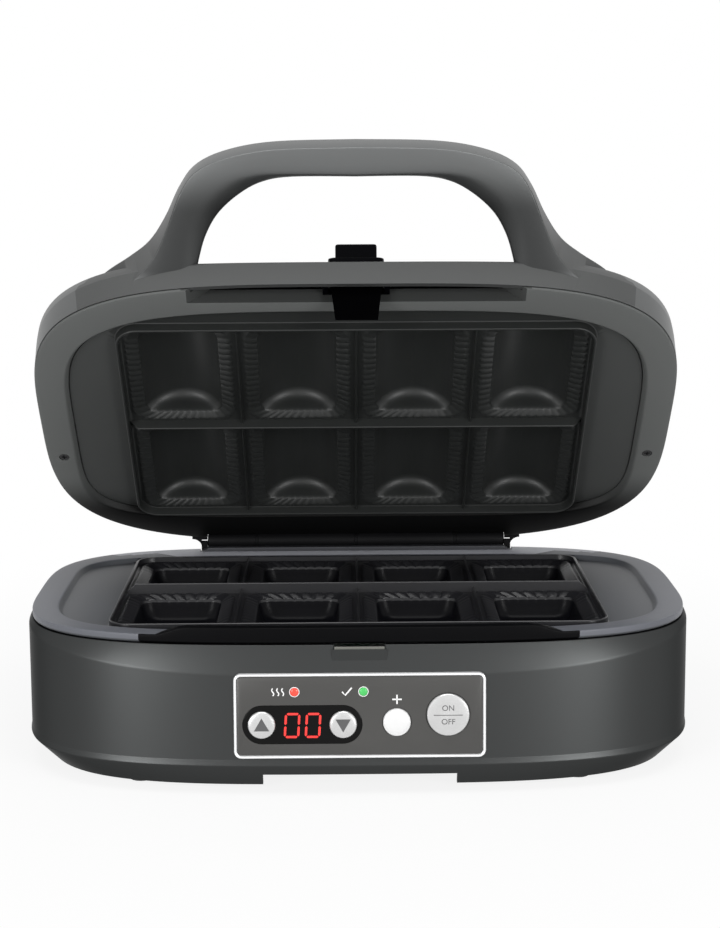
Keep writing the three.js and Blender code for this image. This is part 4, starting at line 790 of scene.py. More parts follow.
def ribBar(start, end, floor, low, high, up, wide, narrow):
    # a thin rib whose crest is rounded and whose ends slope when it stands higher than the frame
    start, end = Vector(start), Vector(end)
    length = (end - start).length
    bm = bmesh.new()
    bmesh.ops.create_grid(bm, x_segments=1, y_segments=1, size=0.5)
    baseZ = floor - up * 0.4
    bmesh.ops.scale(bm, vec=(length, wide, 1), verts=bm.verts)
    bmesh.ops.translate(bm, vec=(0, 0, baseZ), verts=bm.verts)
    current = list(bm.faces)[0]
    width = wide
    slopes = 1 if up * (high - low) > 0.1 else 0
    for breadth, level, slope in ((narrow, 0.93, 6.0 * slopes), (narrow * 0.5, 1.0, 0.6 * slopes)):
        current = bmesh.ops.extrude_discrete_faces(bm, faces=[current])["faces"][0]
        for vert in current.verts:
            vert.co.y *= breadth / width
            vert.co.z = baseZ + (high - baseZ) * level
            vert.co.x -= math.copysign(slope, vert.co.x)
        width = breadth
    bmesh.ops.holes_fill(bm, edges=bm.edges, sides=0)
    turn = Vector((1, 0, 0)).rotation_difference(end - start).to_matrix().to_4x4()
    placed(bm, Matrix.Translation((start + end) / 2) @ turn)
    bmesh.ops.recalc_face_normals(bm, faces=bm.faces)
    return bm


def fillAround(bm, outside, insides):
    edges = list(outside)
    for loop in insides:
        edges += loop
    bmesh.ops.triangle_fill(bm, use_beauty=True, use_dissolve=False, edges=edges)


def hollowedPlate(rings, hollow, skin):
    # a plate with a hollow at each pocket and a plain skin behind it
    bm = bmesh.new()
    first, last = loftRings(bm, len(rays), rings)
    mouths, backs = [], []
    for centre in cellCentres():
        for loops, draw, counts in ((mouths, hollow, crimp["counts"]), (backs, skin, skinCounts)):
            near, deep = loftRings(bm, ringSize(counts), draw(centre))
            loops.append(near)
            closeLoop(bm, deep)
    fillAround(bm, last, mouths)
    fillAround(bm, first, backs)
    return bm


def lowerSkin(centre):
    half, length, radius = plate["skin"]
    return [rectRing(rectPoints(half - draw, length - draw, radius, skinCounts, centre), height)
            for draw, height in ((0, plate["under"]), (4, plate["floor"] - plate["skinDepth"]))]


def upperSkin(centre):
    back, deep = upper["back"], upper["vault"]
    return [rectRing(vaultPoints(centre, share * 0.99, 2.4, skinCounts), back + deep * share)
            for share in (0, 0.35, 0.65, 0.87, 1.0)]


def besidePockets(spot):
    return abs(spot.x) > 2 * plate["pitch"][0] + plate["pocketSide"]


plateLooks = ("paintedShadeCoating", "ringCoating", "wing", "lipCoating", "rearPaintedLight", "crimpCoating")


def plateLook(spot):
    # the finish of the face that lies at a spot
    half, front, rear = plate["pan"]
    reach = superReach(math.atan2(spot.y, spot.x), half, front, rear, *plate["panCurves"])
    inPan = spot.xy.length < reach + 0.5
    lipFrom, lipHalf = plate["lipFinish"]
    if spot.y < lipFrom and (spot.z > plate["ring"] + 0.4 or abs(spot.x) < lipHalf):
        return "lipCoating"
    if not inPan and spot.z > plate["ring"] - 2:
        # the strip behind the pockets takes a far lighter finish, as painted light
        return "rearPaintedLight" if spot.y > plate["paintedLightFrom"] else "ringCoating"
    if not inPan or besidePockets(spot):
        return "wing"
    # the hollows take the darkest finish, as painted shade
    return "crimpCoating" if spot.z > plate["floor"] - crimp["drop"] - 0.7 else "paintedShadeCoating"


def makeLowerPlate():
    half, front, rear = plate["edge"]
    bottom = plate["ring"] - plate["edgeHeight"]
    depth = plate["lipDepth"]

    def edgeRing(grow, height):
        return superRing(half + grow, front + grow, rear + grow, height, *plate["edgeCurves"])

    rings = [
        panRing(-4, plate["under"]),
        panRing(-3.9, bottom),
        edgeRing(-1.0, bottom),
        edgeRing(0, bottom + 1),
        edgeRing(0, lipHeight),
        edgeRing(-depth, lipHeight),
        edgeRing(-depth - 0.8, plate["ring"]),
        panRing(0.4, plate["ring"]),
        panRing(-1.4, plate["floor"]),
        panRing(-2.4, plate["floor"]),
    ]
    rings = soften(rings, [0, 0, 0.5, 0.5, 0.7, 0.7, 0.6, 0.9, 0.9, 0], steps=3)
    cut, cutFrom = plate["hingeCut"]
    bm = carve(hollowedPlate(rings, lowerHollow, lowerSkin), [boxBm(-cut, cut, cutFrom, 125, 70, 90)])
    bm = mergeBm(bm, ribGrid(plate["floor"], 1, plate["ribHeight"]))
    for face in bm.faces:
        face.material_index = plateLooks.index(plateLook(face.calc_center_median()))
    return bm


def makeUpperPlate():
    grow = upper["grow"]
    rings = [panRing(grow, upper["back"]), panRing(grow, upper["floor"]), panRing(grow - 1.5, upper["floor"])]
    bm = hollowedPlate(soften(rings, [0, 0.5, 0], steps=2), upperHollow, upperSkin)
    bm = mergeBm(bm, ribGrid(upper["floor"], -1, upper["ribHeight"]))
    for face in bm.faces:
        face.material_index = 1 if besidePockets(face.calc_center_median()) else 0
    return bm


addPiece("lowerPlate", makeLowerPlate(), plateLooks[0], "base", ["lower_plate"], more=plateLooks[1:])
addPiece("upperPlate", makeUpperPlate(), "upperCoating", "lid", ["upper_plate"], more=["upperWing"])
print("plates made")


# lid

lid = {
    "wall": 3, "edge": 90.6, "nose": 104.4, "slope": 36,
    "size": (186.4, 121.4, 113.75), "edgeSize": (186.2, 118.4, 113.7), "curves": (3.75, 3.45),
    # rise above the nose line, then what the side, front and rear reaches lose
    "crown": [(6.6, -0.2, 3.5, 0), (12.6, 0.4, 8.1, 1.5), (18.2, 8, 17.6, 7), (23.6, 21, 29.4, 19),
              (27.1, 39, 44.4, 35), (29.6, 85, 72, 66)],
    "crownSteps": 24, "cap": (102, 49.4, 48),  # reaches where the flat top starts
    "hingeBay": (94.25, 106.2, 93.6), "keyPort": (11.9, 5.9, 2), "bandTop": 117,
}
arch = {
    "lean": 58,
    "outer": [(0, 62.9), (44, 61.9), (70, 57.5), (87, 49.8), (96, 37.5), (103, 20), (111, 3), (122, -9),
              (138, -19.5), (155, -27.5)],
    "faceEdge": [(0, 48.2), (42, 48.6), (58, 47.6), (71, 43.6), (81, 35.5), (88.5, 24), (93, 11), (95, -3),
                 (96, -14), (100, -26)],
    "opening": [(0, 46.2), (34, 46.1), (51, 42.8), (64, 35.5), (75.5, 25), (82.5, 13), (86.5, 0), (89, -12),
                (94, -24), (102, -33)],
    "bevel": [2.5, 3.5, 5.5, 7, 7, 5.5, 4, 3, 2, 1],  # how far the opening edge lies behind the face
    "depth": [20, 20, 20, 20, 20.5, 22, 25, 27.5, 27.5, 14],
    "angle": [63, 63, 63, 63, 63.5, 66, 70, 74, 77, 79],
    "flare": [0, 0, 0.3, 0.6, 1.2, 2.4, 4.2, 5, 3, 0],
    "stations": 46,
}


def smoothTable(rows, t):
    # Catmull-Rom through equally spaced rows of numbers
    at = t * (len(rows) - 1)
    i = min(int(at), len(rows) - 2)
    u = at - i
    rows = [r if isinstance(r, (tuple, list)) else (r,) for r in rows]
    a, b, c, d = (rows[max(0, min(len(rows) - 1, i + o))] for o in (-1, 0, 1, 2))
    out = [0.5 * (2 * q + (r - p) * u + (2 * p - 5 * q + 4 * r - s) * u ** 2
                  + (3 * q - p - 3 * r + s) * u ** 3)
           for p, q, r, s in zip(a, b, c, d)]
    return out if len(out) > 1 else out[0]


def lidRings(inset):
    half, front, rear = lid["size"]
    edge = lid["edgeSize"]
    start = lid["edge"] - (4 if inset else 0)
    curves = lid["curves"]
    rings = [superRing(*(v - inset for v in edge), start, *curves),
             superRing(half - inset, front - inset, rear - inset, lid["nose"] - inset * 0.4, *curves)]
    rows = [(0, 0, 0, 0)] + lid["crown"]
    for step in range(1, lid["crownSteps"] + 1):
        rise, side, ahead, behind = smoothTable(rows, step / lid["crownSteps"])
        rings.append(superRing(half - side - inset, front - ahead - inset, rear - behind - inset,
                               lid["nose"] + rise - inset, *curves))
    for shrink, lift in ((0.72, 0.55), (0.4, 1.0), (0.12, 1.15)):
        reaches = [(value - inset) * shrink for value in lid["cap"]]
        rings.append(superRing(*reaches, lid["nose"] + lid["crown"][-1][0] + lift - inset))
    return rings


def lidSolid(inset):
    bm = cappedBm(len(rays), lidRings(inset))
    slope = math.radians(lid["slope"])
    normal = Vector((0, -math.sin(slope), math.cos(slope)))
    nose = Vector((0, -lid["size"][1], lid["nose"])) - normal * inset
    geom = bm.verts[:] + bm.edges[:] + bm.faces[:]
    made = bmesh.ops.bisect_plane(bm, geom=geom, plane_co=nose, plane_no=normal, clear_outer=True)["geom_cut"]
    edges = [e for e in made if isinstance(e, bmesh.types.BMEdge)]
    closeLoop(bm, edges)
    return bm


def onFace(point):
    lean = math.radians(arch["lean"])
    x, along = point
    return Vector((x, -lid["size"][1] - along * math.sin(lean), lid["nose"] + along * math.cos(lean)))


def archCorners(t):
    front = onFace(smoothTable(arch["outer"], t))
    angle = math.radians(smoothTable(arch["angle"], t))
    into = Vector((0, math.cos(angle), math.sin(angle)))
    depth = smoothTable(arch["depth"], t)
    bevel = smoothTable(arch["bevel"], t)
    back = front + into * depth + Vector((smoothTable(arch["flare"], t), 0, 0))
    faceEdge = onFace(smoothTable(arch["faceEdge"], t))
    opening = onFace(smoothTable(arch["opening"], t))
    return [front, faceEdge, opening + into * bevel, opening + into * depth, back]


def roundSection(corners, radii, steps=3):
    points = []
    count = len(corners)
    for i, (corner, radius) in enumerate(zip(corners, radii)):
        back, ahead = corners[i - 1] - corner, corners[(i + 1) % count] - corner
        p = corner + back.normalized() * min(radius, back.length * 0.45)
        q = corner + ahead.normalized() * min(radius, ahead.length * 0.45)
        for step in range(steps + 1):
            t = step / steps
            points.append(p * (1 - t) ** 2 + corner * 2 * t * (1 - t) + q * t ** 2)
    return points


def archBm():
    stations = arch["stations"]
    sections = []
    for i in range(-stations, stations + 1):
        side = -1 if i < 0 else 1
        corners = archCorners(abs(i) / stations)
        section = roundSection(corners, [0.9, 5, 1.6, 2, 2.2])
        sections.append([Vector((p.x * side, p.y, p.z)) for p in section])
    return cappedBm(len(sections[0]), [lambda k, s=section: s[k] for section in sections])


def slopePlace():
    slope = Matrix.Rotation(math.radians(lid["slope"]), 4, "X")
    return (Matrix.Translation((0, -lid["size"][1], lid["nose"])) @ slope
            @ Matrix.Translation((0, latch["setback"], 0)))


latch = {
    "setback": 9.4, "key": (11.5, 5.5, 2), "collar": (15.5, 8.25, 5), "tall": 10.6, "collarTall": 2.8,
    "pin": (0, -110.15, 97), "pinRadius": 1.75, "eyeRadius": 3, "eyeHalf": 14.5,
    "blade": (-112.35, -111.35, 70, 99), "bladeTop": 14.5, "bladeFoot": 11.6,
}


def makeLidShell():
    solid = carve(lidSolid(0), [archBm()], "UNION")
    bay, bayFrom, bayTop = lid["hingeBay"]
    cutters = [
        lidSolid(lid["wall"]),
        boxBm(-200, 200, -200, 200, 20, lid["edge"]),
        boxBm(-bay, bay, bayFrom, 130, 80, bayTop),
        placed(plateBm(*lid["keyPort"], -8, 8), slopePlace()),
    ]
    bm = carve(solid, cutters)
    bm.normal_update()
    # forward-facing faces low on the front take the darker band finish, as painted shade
    for face in bm.faces:
        spot = face.calc_center_median()
        if face.normal.y < -0.6 and spot.y < -100 and spot.z < lid["bandTop"]:
            face.material_index = 1
    return bm


addPiece("lidShell", makeLidShell(), "lidShell", "lid", ["lid_shell"], more=["lidBandPaintedShade"])
print("lid shell made")


lidRim = {
    "recess": (95, 19, -105.5, -125),  # half width, ramp at each end, rear and front
    "hingeBay": (94.4, 106), "screws": (176, 28), "screwHead": 3.1, "screwShank": 2,
    "liner": (100, -113.6, -104), "linerOpening": (19.5, -115, -105.6),
    "horn": (104.1, 84.2, 6, 5.2), "hornFace": (111.9, 1.2),  # its curve's corner and reaches; y, thickness
}


def recessBm(low, high):
    # the space that the lip of the lower plate stands in: a straight rear edge, and ends that slope in softly
    half, ramp, rear, front = lidRim["recess"]
    steps = 12
    profile = [(half - ramp * i / steps, low + (high - low) * (i / steps) ** 2 * (3 - 2 * i / steps))
               for i in range(steps + 1)]
    profile = profile + [(-x, z) for x, z in profile[::-1]]
    profile = [(half, low - 8)] + profile + [(-half, low - 8)]
    return prismBm([(x, front, z) for x, z in profile], (0, rear - front, 0))


def makeNoseShadeLiner():
    # black floor of that space with an opening for the latch, so that nothing inside the lid shows; its
    # glossless black is painted shade for the deep recess
    half, opening = lidRim["liner"][0], lidRim["linerOpening"][0]
    floor = boxBm(-half, half, *lidRim["liner"][1:], upper["crest"] + 9.3, upper["crest"] + 10.3)
    return carve(floor, [boxBm(-opening, opening, *lidRim["linerOpening"][1:], 98, 101)])


def makeHingeHorn(side):
    # dark fillet that leads the open lid's edge down to the outer end of the barrels
    outerX, low, across, rise = lidRim["horn"]
    y, thickness = lidRim["hornFace"]
    steps = 8
    turns = [math.pi / 2 * i / steps for i in range(steps + 1)]
    points = [(side * (outerX - across * math.cos(a)), low + rise * math.sin(a)) for a in turns]
    points += [(side * x, z) for x, z in ((outerX, 91.5), (94.5, 91.5), (94.5, 88.95), (98.1, 88.95))]
    return prismBm([(x, y, z) for x, z in points], (0, thickness, 0))


def makeLidFrame():
    half, front, rear = lid["edgeSize"]
    curves = lid["curves"]
    low = upper["crest"] - 0.5
    high, part = low + 10, lid["edge"] - 0.25

    def edgeRing(inset, height):
        return superRing(half - inset, front - inset, rear - inset, height, *curves)

    rings = [
        edgeRing(3.4, high),
        edgeRing(3.4, part),
        edgeRing(0.5, part),
        edgeRing(0.5, low - 0.3),
        edgeRing(3.2, low - 0.3),
        panRing(0.6, low),
        panRing(-1.2, upper["floor"]),
        panRing(-1.2, high),
    ]
    bm = hoopBm(len(rays), soften(rings, [0, 0, 0.15, 1.0, 0, 1.2, 0.5, 0], steps=3))
    bay, bayFrom = lidRim["hingeBay"]
    cutters = [recessBm(low - 0.4, high + 2), boxBm(-bay, bay, bayFrom, 125, 80, 110)]
    head, shank, seat = lidRim["screwHead"], lidRim["screwShank"], low + 1.6
    screwHole = [(0, low - 2), (head, low - 2), (head, seat), (shank, seat), (shank, 110), (0, 110)]
    for side in (-1, 1):
        screwX, screwY = lidRim["screws"]
        cutters.append(spinBm(screwHole, 24, (side * screwX, screwY, 0)))
    bm = carve(bm, cutters)
    # faces in the recess take a darker finish, as painted shade
    for face in bm.faces:
        spot = face.calc_center_median()
        if spot.y < -104 and abs(spot.x) < lidRim["recess"][0] + 0.5 and spot.z > low + 0.1:
            face.material_index = 1
    return bm


addPiece("lidFrame", makeLidFrame(), "lidRing", "lid", ["lid_frame"], more=["lidRecessPaintedShade"])
for side, name in ((-1, "left"), (1, "right")):
    addPiece(f"hingeHorn_{name}", makeHingeHorn(side), "hingePlastic", "lid", matrix=toScene)
addPiece("noseShadeLiner", makeNoseShadeLiner(), "tonguePlastic", "lid")
print("lid frame made")


# hinge

barrel = {
    "radius": 5, "neck": 4.6, "bore": 2.35, "dome": 1.3, "ease": 0.6,
    # ends: the far end, the near end, and where the neck beyond the near end stops
    "base": {"ends": (94, 63.8, 62.25), "arm": (109.8, 113.8, 79.8, 88.2), "domed": True},
    "lid": {"ends": (62.2, 0.8, 0.02), "arm": (106.8, 109.7, 88.2, 104.2), "domed": False},
}


def makeKnuckle(far, near, neckEnd, arm, domed):
    # a barrel with eased ends, rounder at a domed far end, and a slimmer neck beyond its near end
    radius, neck, bored = barrel["radius"], barrel["neck"], barrel["bore"]
    low, high = sorted((far, near))
    easeLow, easeHigh = (barrel["dome"] if domed and x == far else barrel["ease"] for x in (low, high))
    turns = [math.pi / 2 * i / 4 for i in range(5)]
    profile = [(radius - easeLow * (1 - math.sin(a)), low + easeLow * (1 - math.cos(a))) for a in turns]
    profile += [(radius - easeHigh * (1 - math.cos(a)), high - easeHigh * (1 - math.sin(a))) for a in turns]
    if near == low:
        profile = [(neck, neckEnd), (neck, low)] + profile
    else:
        profile += [(neck, high), (neck, neckEnd)]
    profile = [(bored, profile[0][1])] + profile + [(bored, profile[-1][1])]
    turn = Matrix.Translation((0, maker["hingeY"], maker["hingeZ"])) @ Matrix.Rotation(math.pi / 2, 4, "Y")
    tube = placed(spinProfile(profile, 40, closed=True), turn)
    bore = placed(barBm(bored, low - 4, high + 4, 40, (0, 0, 0)), turn)
    return carve(carve(tube, [boxBm(low + 1, high - 1, *arm)], "UNION"), [bore])


for side, name in ((-1, "left"), (1, "right")):
    for body in ("base", "lid"):
        look = barrel[body]
        knuckle = makeKnuckle(*(side * x for x in look["ends"]), look["arm"], look["domed"])
        addPiece(f"{body}Knuckle_{name}", knuckle, "hingePlastic", body,
                 [f"{body}_knuckle_{name}"])
print("hinge made")


# latch

def onSlope(bm):
    return placed(bm, slopePlace())


def makeCollar():
    halfX, halfY, radius = latch["collar"]
    collar = plateBm(halfX, halfY, radius, 0.05, latch["collarTall"], edge=0.8)
    hole = plateBm(11.85, 5.85, 2, -2, 6)
    return onSlope(carve(collar, [hole]))


def makeLatchKey():
    halfX, halfY, radius = latch["key"]
    return onSlope(plateBm(halfX, halfY, radius, -6, latch["tall"], edge=1.1))


def makeTongue():
    bm = boxBm(-1, 1, *latch["blade"])
    for vert in bm.verts:
        vert.co.x *= latch["bladeTop"] if vert.co.z > 80 else latch["bladeFoot"]
    easeEdges(bm, bm.edges[:], 0.3)
    barb = boxBm(-latch["bladeFoot"], latch["bladeFoot"], -111.8, -110.25, 70, 72.2)
    for vert in barb.verts:
        if vert.co.y > -111 and vert.co.z < 71:
            vert.co.y = -111.3
    eye = barBm(latch["eyeRadius"], -latch["eyeHalf"], latch["eyeHalf"], 24, latch["pin"], "X")
    bore = barBm(latch["pinRadius"], -16, 16, 24, latch["pin"], "X")
    return carve(carve(bm, [barb, eye], "UNION"), [bore])


addPiece("latchCollar", makeCollar(), "latchPlastic", "lid", ["latch_collar"])
addPiece("latchKey", makeLatchKey(), "latchPlastic", "latch_button", ["latch_button"])
addPiece("latchTongue", makeTongue(), "tonguePlastic", "latch_tongue", ["latch_tongue"])
print("latch made")


# control panel

def onPanel(bm):
    return placed(bm, panelPlace())


def makeBezel():
    halfX, halfY = panel["width"] / 2, panel["height"] / 2
    counts = (1, 1, 10)

    def loop(grow, z):
        return rectRing(rectPoints(halfX + grow, halfY + grow, panel["corner"] + grow, counts), z)

    rim = panel["rim"]
    rings = [loop(0, -3), loop(0, 0.3), loop(-0.35, panel["proud"] * 0.8), loop(-rim * 0.5, panel["proud"]),
             loop(0.35 - rim, panel["proud"] * 0.8), loop(-rim, 0.3), loop(-rim, -3)]
    return onPanel(hoopBm(ringSize(counts), rings))


def keyHole(radius, x, y):
    return barBm(radius, -14, 5, 48, (x, y, 0))


def makeFascia():
    halfX, halfY = panel["width"] / 2 - panel["rim"] - 0.15, panel["height"] / 2 - panel["rim"] - 0.15
    bm = plateBm(halfX, halfY, 2.3, -2.6, 0.4, corner=6, edge=0.15)
    wx, wy, ww, wh = panel["window"]
    holes = [plateBm(ww + 0.15, wh + 0.15, wh + 0.15, -5, 5, (wx, wy), corner=16),
             keyHole(panel["smallKey"] + 0.35, *panel["moreKey"]),
             keyHole(panel["startKey"] + 0.35, *panel["start"])]
    holes += [keyHole(panel["lampRadius"] + 0.1, *spot) for spot in panel["lamps"]]
    bm = carve(bm, holes)
    for px in (-57.3, 57.3):
        for py in (-17, 17):
            mergeBm(bm, barBm(3, -9.6, -2.5, 20, (px, py, 0)))  # post for the board
    return onPanel(bm)


def makeWindow():
    wx, wy, ww, wh = panel["window"]
    bm = plateBm(ww, wh, wh, -0.9, 0.5, (wx, wy), corner=20, edge=0.2)
    holes = [keyHole(panel["smallKey"] + 0.3, wx + side * panel["keySpread"], wy) for side in (-1, 1)]
    return onPanel(carve(bm, holes))


def makeKey(radius, x, y, proud, dome):
    profile = [(0, -6), (radius, -6), (radius, proud - 0.9), (radius - 0.15, proud - 0.45),
               (radius - 0.5, proud - 0.12), (radius - 1.1, proud)]
    profile += [(radius * share, proud + dome * (1 - share ** 2)) for share in (0.8, 0.6, 0.4, 0.2, 0)]
    return onPanel(spinBm(profile, 64, (x, y, 0)))


def makeLens(x, y):
    r = panel["lampRadius"]
    profile = [(0, -9), (r - 0.4, -9), (r - 0.4, -3), (r, -3), (r, 0.5), (r * 0.92, 0.75), (r * 0.7, 1.0),
               (r * 0.4, 1.15), (0, 1.2)]
    return onPanel(spinBm(profile, 32, (x, y, 0)))


def ringBm(inner, outer, z0, z1, centre):
    bm = spinProfile([(inner, z0), (outer, z0), (outer, z1), (inner, z1)], 40, closed=True)
    bmesh.ops.translate(bm, vec=(*centre, 0), verts=bm.verts)
    return bm


def polyBm(points, z0, z1):
    return prismBm([(x, y, z0) for x, y in points], (0, 0, z1 - z0))


def stripBm(x, y, halfX, halfY, z0, z1):
    corners = ((-1, -1), (1, -1), (1, 1), (-1, 1))
    return polyBm([(x + sideX * halfX, y + sideY * halfY) for sideX, sideY in corners], z0, z1)


def digitBm(cx, cy, segments="abcdef"):
    # seven-segment figure, leaning a little to the right
    w, h, t, gap = 3.5, 6.1, 0.6, 0.35
    bars = {"a": ((-w, h), (w, h)), "b": ((w, h), (w, 0)), "c": ((w, 0), (w, -h)), "d": ((-w, -h), (w, -h)),
            "e": ((-w, 0), (-w, -h)), "f": ((-w, h), (-w, 0)), "g": ((-w, 0), (w, 0))}
    whole = bmesh.new()
    for name in segments:
        p, q = (Vector(v) for v in bars[name])
        along = (q - p).normalized()
        across = Vector((-along.y, along.x)) * t
        p, q = p + along * gap, q - along * gap
        points = [p, p + along * t + across, q - along * t + across,
                  q, q - along * t - across, p + along * t - across]
        mergeBm(whole, polyBm([(v.x + v.y * 0.06 + cx, v.y + cy) for v in points], 0.5, 0.62))
    return whole


def strokeBm(points, width, z0, z1):
    # a bent line of even width
    points = [Vector(p) for p in points]
    left, right = [], []
    for i, p in enumerate(points):
        ahead = (points[min(i + 1, len(points) - 1)] - points[max(i - 1, 0)]).normalized()
        side = Vector((-ahead.y, ahead.x)) * width / 2
        left.append(p + side)
        right.append(p - side)
    return polyBm([tuple(p) for p in right + left[::-1]], z0, z1)


def textBm(words, size, x, y, z):
    curve = bpy.data.curves.new("words", "FONT")
    curve.body = words
    curve.size = size
    curve.align_x = "CENTER"
    curve.align_y = "CENTER"
    curve.extrude = 0.05
    holder = bpy.data.objects.new("words", curve)
    bpy.context.scene.collection.objects.link(holder)
    bpy.context.view_layer.update()
    mesh = bpy.data.meshes.new_from_object(holder.evaluated_get(bpy.context.evaluated_depsgraph_get()))
    bpy.data.objects.remove(holder)
    bm = bmesh.new()
    bm.from_mesh(mesh)
    bmesh.ops.translate(bm, vec=(x, y, z), verts=bm.verts)
    return bm


def heatWaves(x, y):
    whole = bmesh.new()
    for offset in (-2.6, 0, 2.6):
        points = [(x + offset + 0.55 * math.sin(i / 12 * 2 * math.pi), y - 2.0 + 4.0 * i / 12)
                  for i in range(13)]
        mergeBm(whole, strokeBm(points, 0.62, *panel["print"]))
    return whole


addPiece("panelBezel", makeBezel(), "chrome", "base", ["panel_bezel"])
addPiece("panelFascia", makeFascia(), "fascia", "base", ["panel_fascia"])
addPiece("displayWindow", makeWindow(), "window", "base", ["display_window"])
digits = mergeBm(digitBm(-35.6, -5.0), digitBm(-24.6, -5.0))
addPiece("litDigits", onPanel(digits), "litDigit", "base")
windowX, windowY = panel["window"][:2]
for name, x, up in (("up", windowX - panel["keySpread"], 1), ("down", windowX + panel["keySpread"], -1)):
    key = makeKey(panel["smallKey"], x, windowY, 1.9, 0.35)
    addPiece(f"{name}Key", key, "silverKey", f"{name}_button", [f"{name}_button"])
    corners = [(x - 4.0, windowY - 3.0 * up), (x + 4.0, windowY - 3.0 * up), (x, windowY + 3.9 * up)]
    sign = onPanel(polyBm(corners[::up], 2.05, 2.3))
    addPiece(f"{name}Arrow", sign, "darkPrint", f"{name}_button")
moreKey = makeKey(panel["smallKey"], *panel["moreKey"], 2.0, 0.65)
addPiece("moreKey", moreKey, "whiteKey", "more_button", ["more_button"])
startKey = makeKey(panel["startKey"], *panel["start"], 2.15, 0.45)
addPiece("startKey", startKey, "silverKey", "start_button", ["start_button"])
startX, startY = panel["start"]
words = mergeBm(textBm("ON", 4.2, startX, startY + 3.6, 2.58), textBm("OFF", 4.2, startX, startY - 3.6, 2.58),
                stripBm(startX, startY, 7.6, 0.18, 2.5, 2.65))
addPiece("startWords", onPanel(words), "darkPrint", "start_button")
for spot, finish, node, slot in zip(panel["lamps"], ("redLens", "greenLens"), ("heating_lamp", "ready_lamp"),
                                    ("red_lamp", "green_lamp")):
    addPiece(f"{finish}Dome", makeLens(*spot), finish, "base", [node])
lampRadius = panel["lampRadius"]
rings = mergeBm(*[ringBm(lampRadius + 0.1, lampRadius + 0.45, 0.3, 0.62, spot) for spot in panel["lamps"]])
addPiece("lampRings", onPanel(rings), "whitePrint", "base")
tick = strokeBm([(-9.3, 12.7), (-7.6, 10.9), (-4.2, 14.9)], 0.8, *panel["print"])
plus = mergeBm(*[stripBm(19.5, 8.5, *half, *panel["print"]) for half in ((2.5, 0.4), (0.4, 2.5))])
signs = mergeBm(heatWaves(-43.0, 12.8), tick, plus)
addPiece("panelSigns", onPanel(signs), "whitePrint", "base")
print("control panel made")


# small parts carried over from the frame

carried = {
    "bottom_cover": "cover", "cord_gland": "rubber", "lower_heater": "steel", "upper_heater": "steel",
    "lower_reflector": "tray", "upper_reflector": "tray", "thermostat": "steel", "hinge_pin": "steel",
    "terminal_block": "ceramic", "display_module": "window", "control_board": "board",
    "latch_bracket": "latchPlastic", "latch_pin": "darkSteel",
}
for place in ("front_left", "front_right", "rear_left", "rear_right"):
    carried[f"foot_{place}"] = "rubber"
    carried[f"cover_screw_{place}"] = "steel"
for side in ("left", "right"):
    carried[f"frame_screw_{side}"] = "darkSteel"
for node, finish in carried.items():
    obj = frame["nodes"][node]
    obj.data.materials.clear()
    obj.data.materials.append(materials[finish])
print("carried parts finished")


# floor, light and camera

studio = {
    "floor": 0.86, "world": 0.4,
    "nearWhite": 0.85, "clear": 0.55,  # how white the floor is seen by the maker, and where it is all white
    "lamps": {  # power, size, place, aim
        "topSoftbox": (9, (1.2, 0.6), (0, -0.35, 1.5), (0, 0, 0.1)),
        "leftSoftbox": (12, (0.5, 0.7), (-0.95, -1.35, 0.42), (0, 0, 0.12)),
        "rightSoftbox": (12, (0.5, 0.7), (0.95, -1.35, 0.42), (0, 0, 0.12)),
    },
}


def seenDirectly(tree):
    # 1 for rays from the camera, from mirrors and from glass, 0 for rays that light something
    path = addNode(tree, "ShaderNodeLightPath")
    first = addNode(tree, "ShaderNodeMath", operation="MAXIMUM")
    second = addNode(tree, "ShaderNodeMath", operation="MAXIMUM")
    joinNodes(tree,
              (path, "Is Camera Ray", first, 0), (path, "Is Glossy Ray", first, 1),
              (first, 0, second, 0), (path, "Is Transmission Ray", second, 1))
    return second, 0


def makeFloorPaper():
    # matt paper that is seen nearly white with a faint shadow, and all white further out
    material = bpy.data.materials.new("floorPaper")
    material.use_nodes = True
    tree = material.node_tree
    shader = tree.nodes["Principled BSDF"]
    shader.inputs["Base Color"].default_value = (studio["floor"], studio["floor"], studio["floor"], 1)
    shader.inputs["Roughness"].default_value = 0.9
    shader.inputs["Specular IOR Level"].default_value = 0.1
    place = addNode(tree, "ShaderNodeTexCoord")
    away = addNode(tree, "ShaderNodeVectorMath", operation="LENGTH")
    fade = addNode(tree, "ShaderNodeMapRange", {"From Min": 0.1, "From Max": studio["clear"],
                                                "To Min": studio["nearWhite"], "To Max": 1.0},
                   interpolation_type="SMOOTHSTEP")
    share = addNode(tree, "ShaderNodeMath", operation="MULTIPLY")
    white = addNode(tree, "ShaderNodeEmission", {"Color": (1, 1, 1, 1), "Strength": 1.0})
    mix = addNode(tree, "ShaderNodeMixShader")
    joinNodes(tree,
              (place, "Object", away, 0), (away, "Value", fade, "Value"), (fade, "Result", share, 0),
              (*seenDirectly(tree), share, 1), (share, 0, mix, "Fac"), (shader, "BSDF", mix, 1),
              (white, "Emission", mix, 2), (mix, "Shader", tree.nodes["Material Output"], "Surface"))
    return material


def makeFloor():
    bm = bmesh.new()
    bmesh.ops.create_grid(bm, x_segments=1, y_segments=1, size=6)
    mesh = bpy.data.meshes.new("floor")
    bm.to_mesh(mesh)
    bm.free()
    floor = bpy.data.objects.new("floor", mesh)
    bpy.context.scene.collection.objects.link(floor)
    mesh.materials.append(makeFloorPaper())


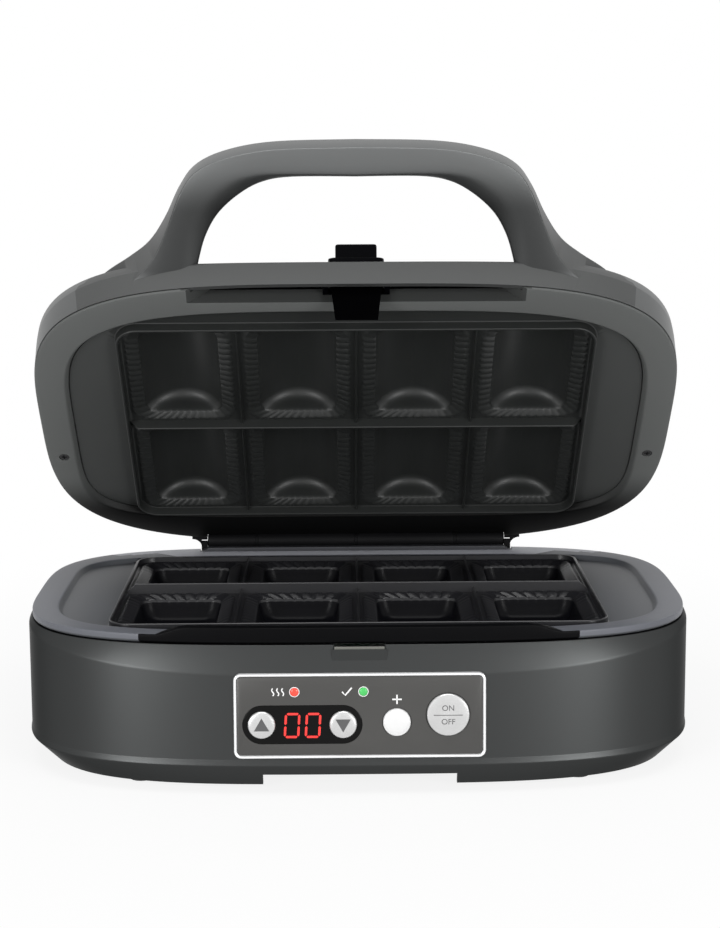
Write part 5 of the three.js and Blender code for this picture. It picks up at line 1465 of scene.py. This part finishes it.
def makeWorld():
    world = bpy.data.worlds.new("studioWorld")
    world.use_nodes = True
    tree = world.node_tree
    soft = tree.nodes["Background"]
    soft.inputs["Color"].default_value = (1, 1, 1, 1)
    soft.inputs["Strength"].default_value = studio["world"]
    seen = addNode(tree, "ShaderNodeBackground", {"Color": (1, 1, 1, 1), "Strength": 1.0})
    mix = addNode(tree, "ShaderNodeMixShader")
    joinNodes(tree,
              (*seenDirectly(tree), mix, "Fac"), (soft, "Background", mix, 1), (seen, "Background", mix, 2),
              (mix, "Shader", tree.nodes["World Output"], "Surface"))
    bpy.context.scene.world = world


def addLamp(name, power, size, spot, aim):
    data = bpy.data.lights.new(name, "AREA")
    data.shape = "RECTANGLE"
    data.size, data.size_y = size
    data.energy = power
    lamp = bpy.data.objects.new(name, data)
    lamp.location = spot
    lamp.rotation_euler = (Vector(aim) - Vector(spot)).to_track_quat("-Z", "Y").to_euler()
    bpy.context.scene.collection.objects.link(lamp)


def addCamera():
    view = {"lens": 97.5385, "pitch": 0.167387, "yaw": -0.0091201, "roll": -0.0053248,
            "at": (-8.25, -1105.44, 342.85)}
    cp, sp = math.cos(view["pitch"]), math.sin(view["pitch"])
    cy, sy = math.cos(view["yaw"]), math.sin(view["yaw"])
    right = Vector((cy, sy, 0))
    level = Vector((-sy, cy, 0))
    ahead = level * cp - Vector((0, 0, sp))
    up = level * sp + Vector((0, 0, cp))
    cr, sr = math.cos(view["roll"]), math.sin(view["roll"])
    axisX, axisY = right * cr + up * sr, up * cr - right * sr
    data = bpy.data.cameras.new("viewCamera")
    data.sensor_fit = "HORIZONTAL"
    data.sensor_width = 36
    data.lens = view["lens"]
    data.clip_start, data.clip_end = 0.05, 50
    camera = bpy.data.objects.new("viewCamera", data)
    turn = Matrix((axisX, axisY, -ahead)).transposed().to_4x4()
    camera.matrix_world = Matrix.Translation(toScene @ Vector(view["at"])) @ turn
    bpy.context.scene.collection.objects.link(camera)
    bpy.context.scene.camera = camera


makeFloor()
makeWorld()
for name, look in studio["lamps"].items():
    addLamp(name, *look)
addCamera()
bpy.context.scene.view_settings.view_transform = "Standard"
print("stage made")
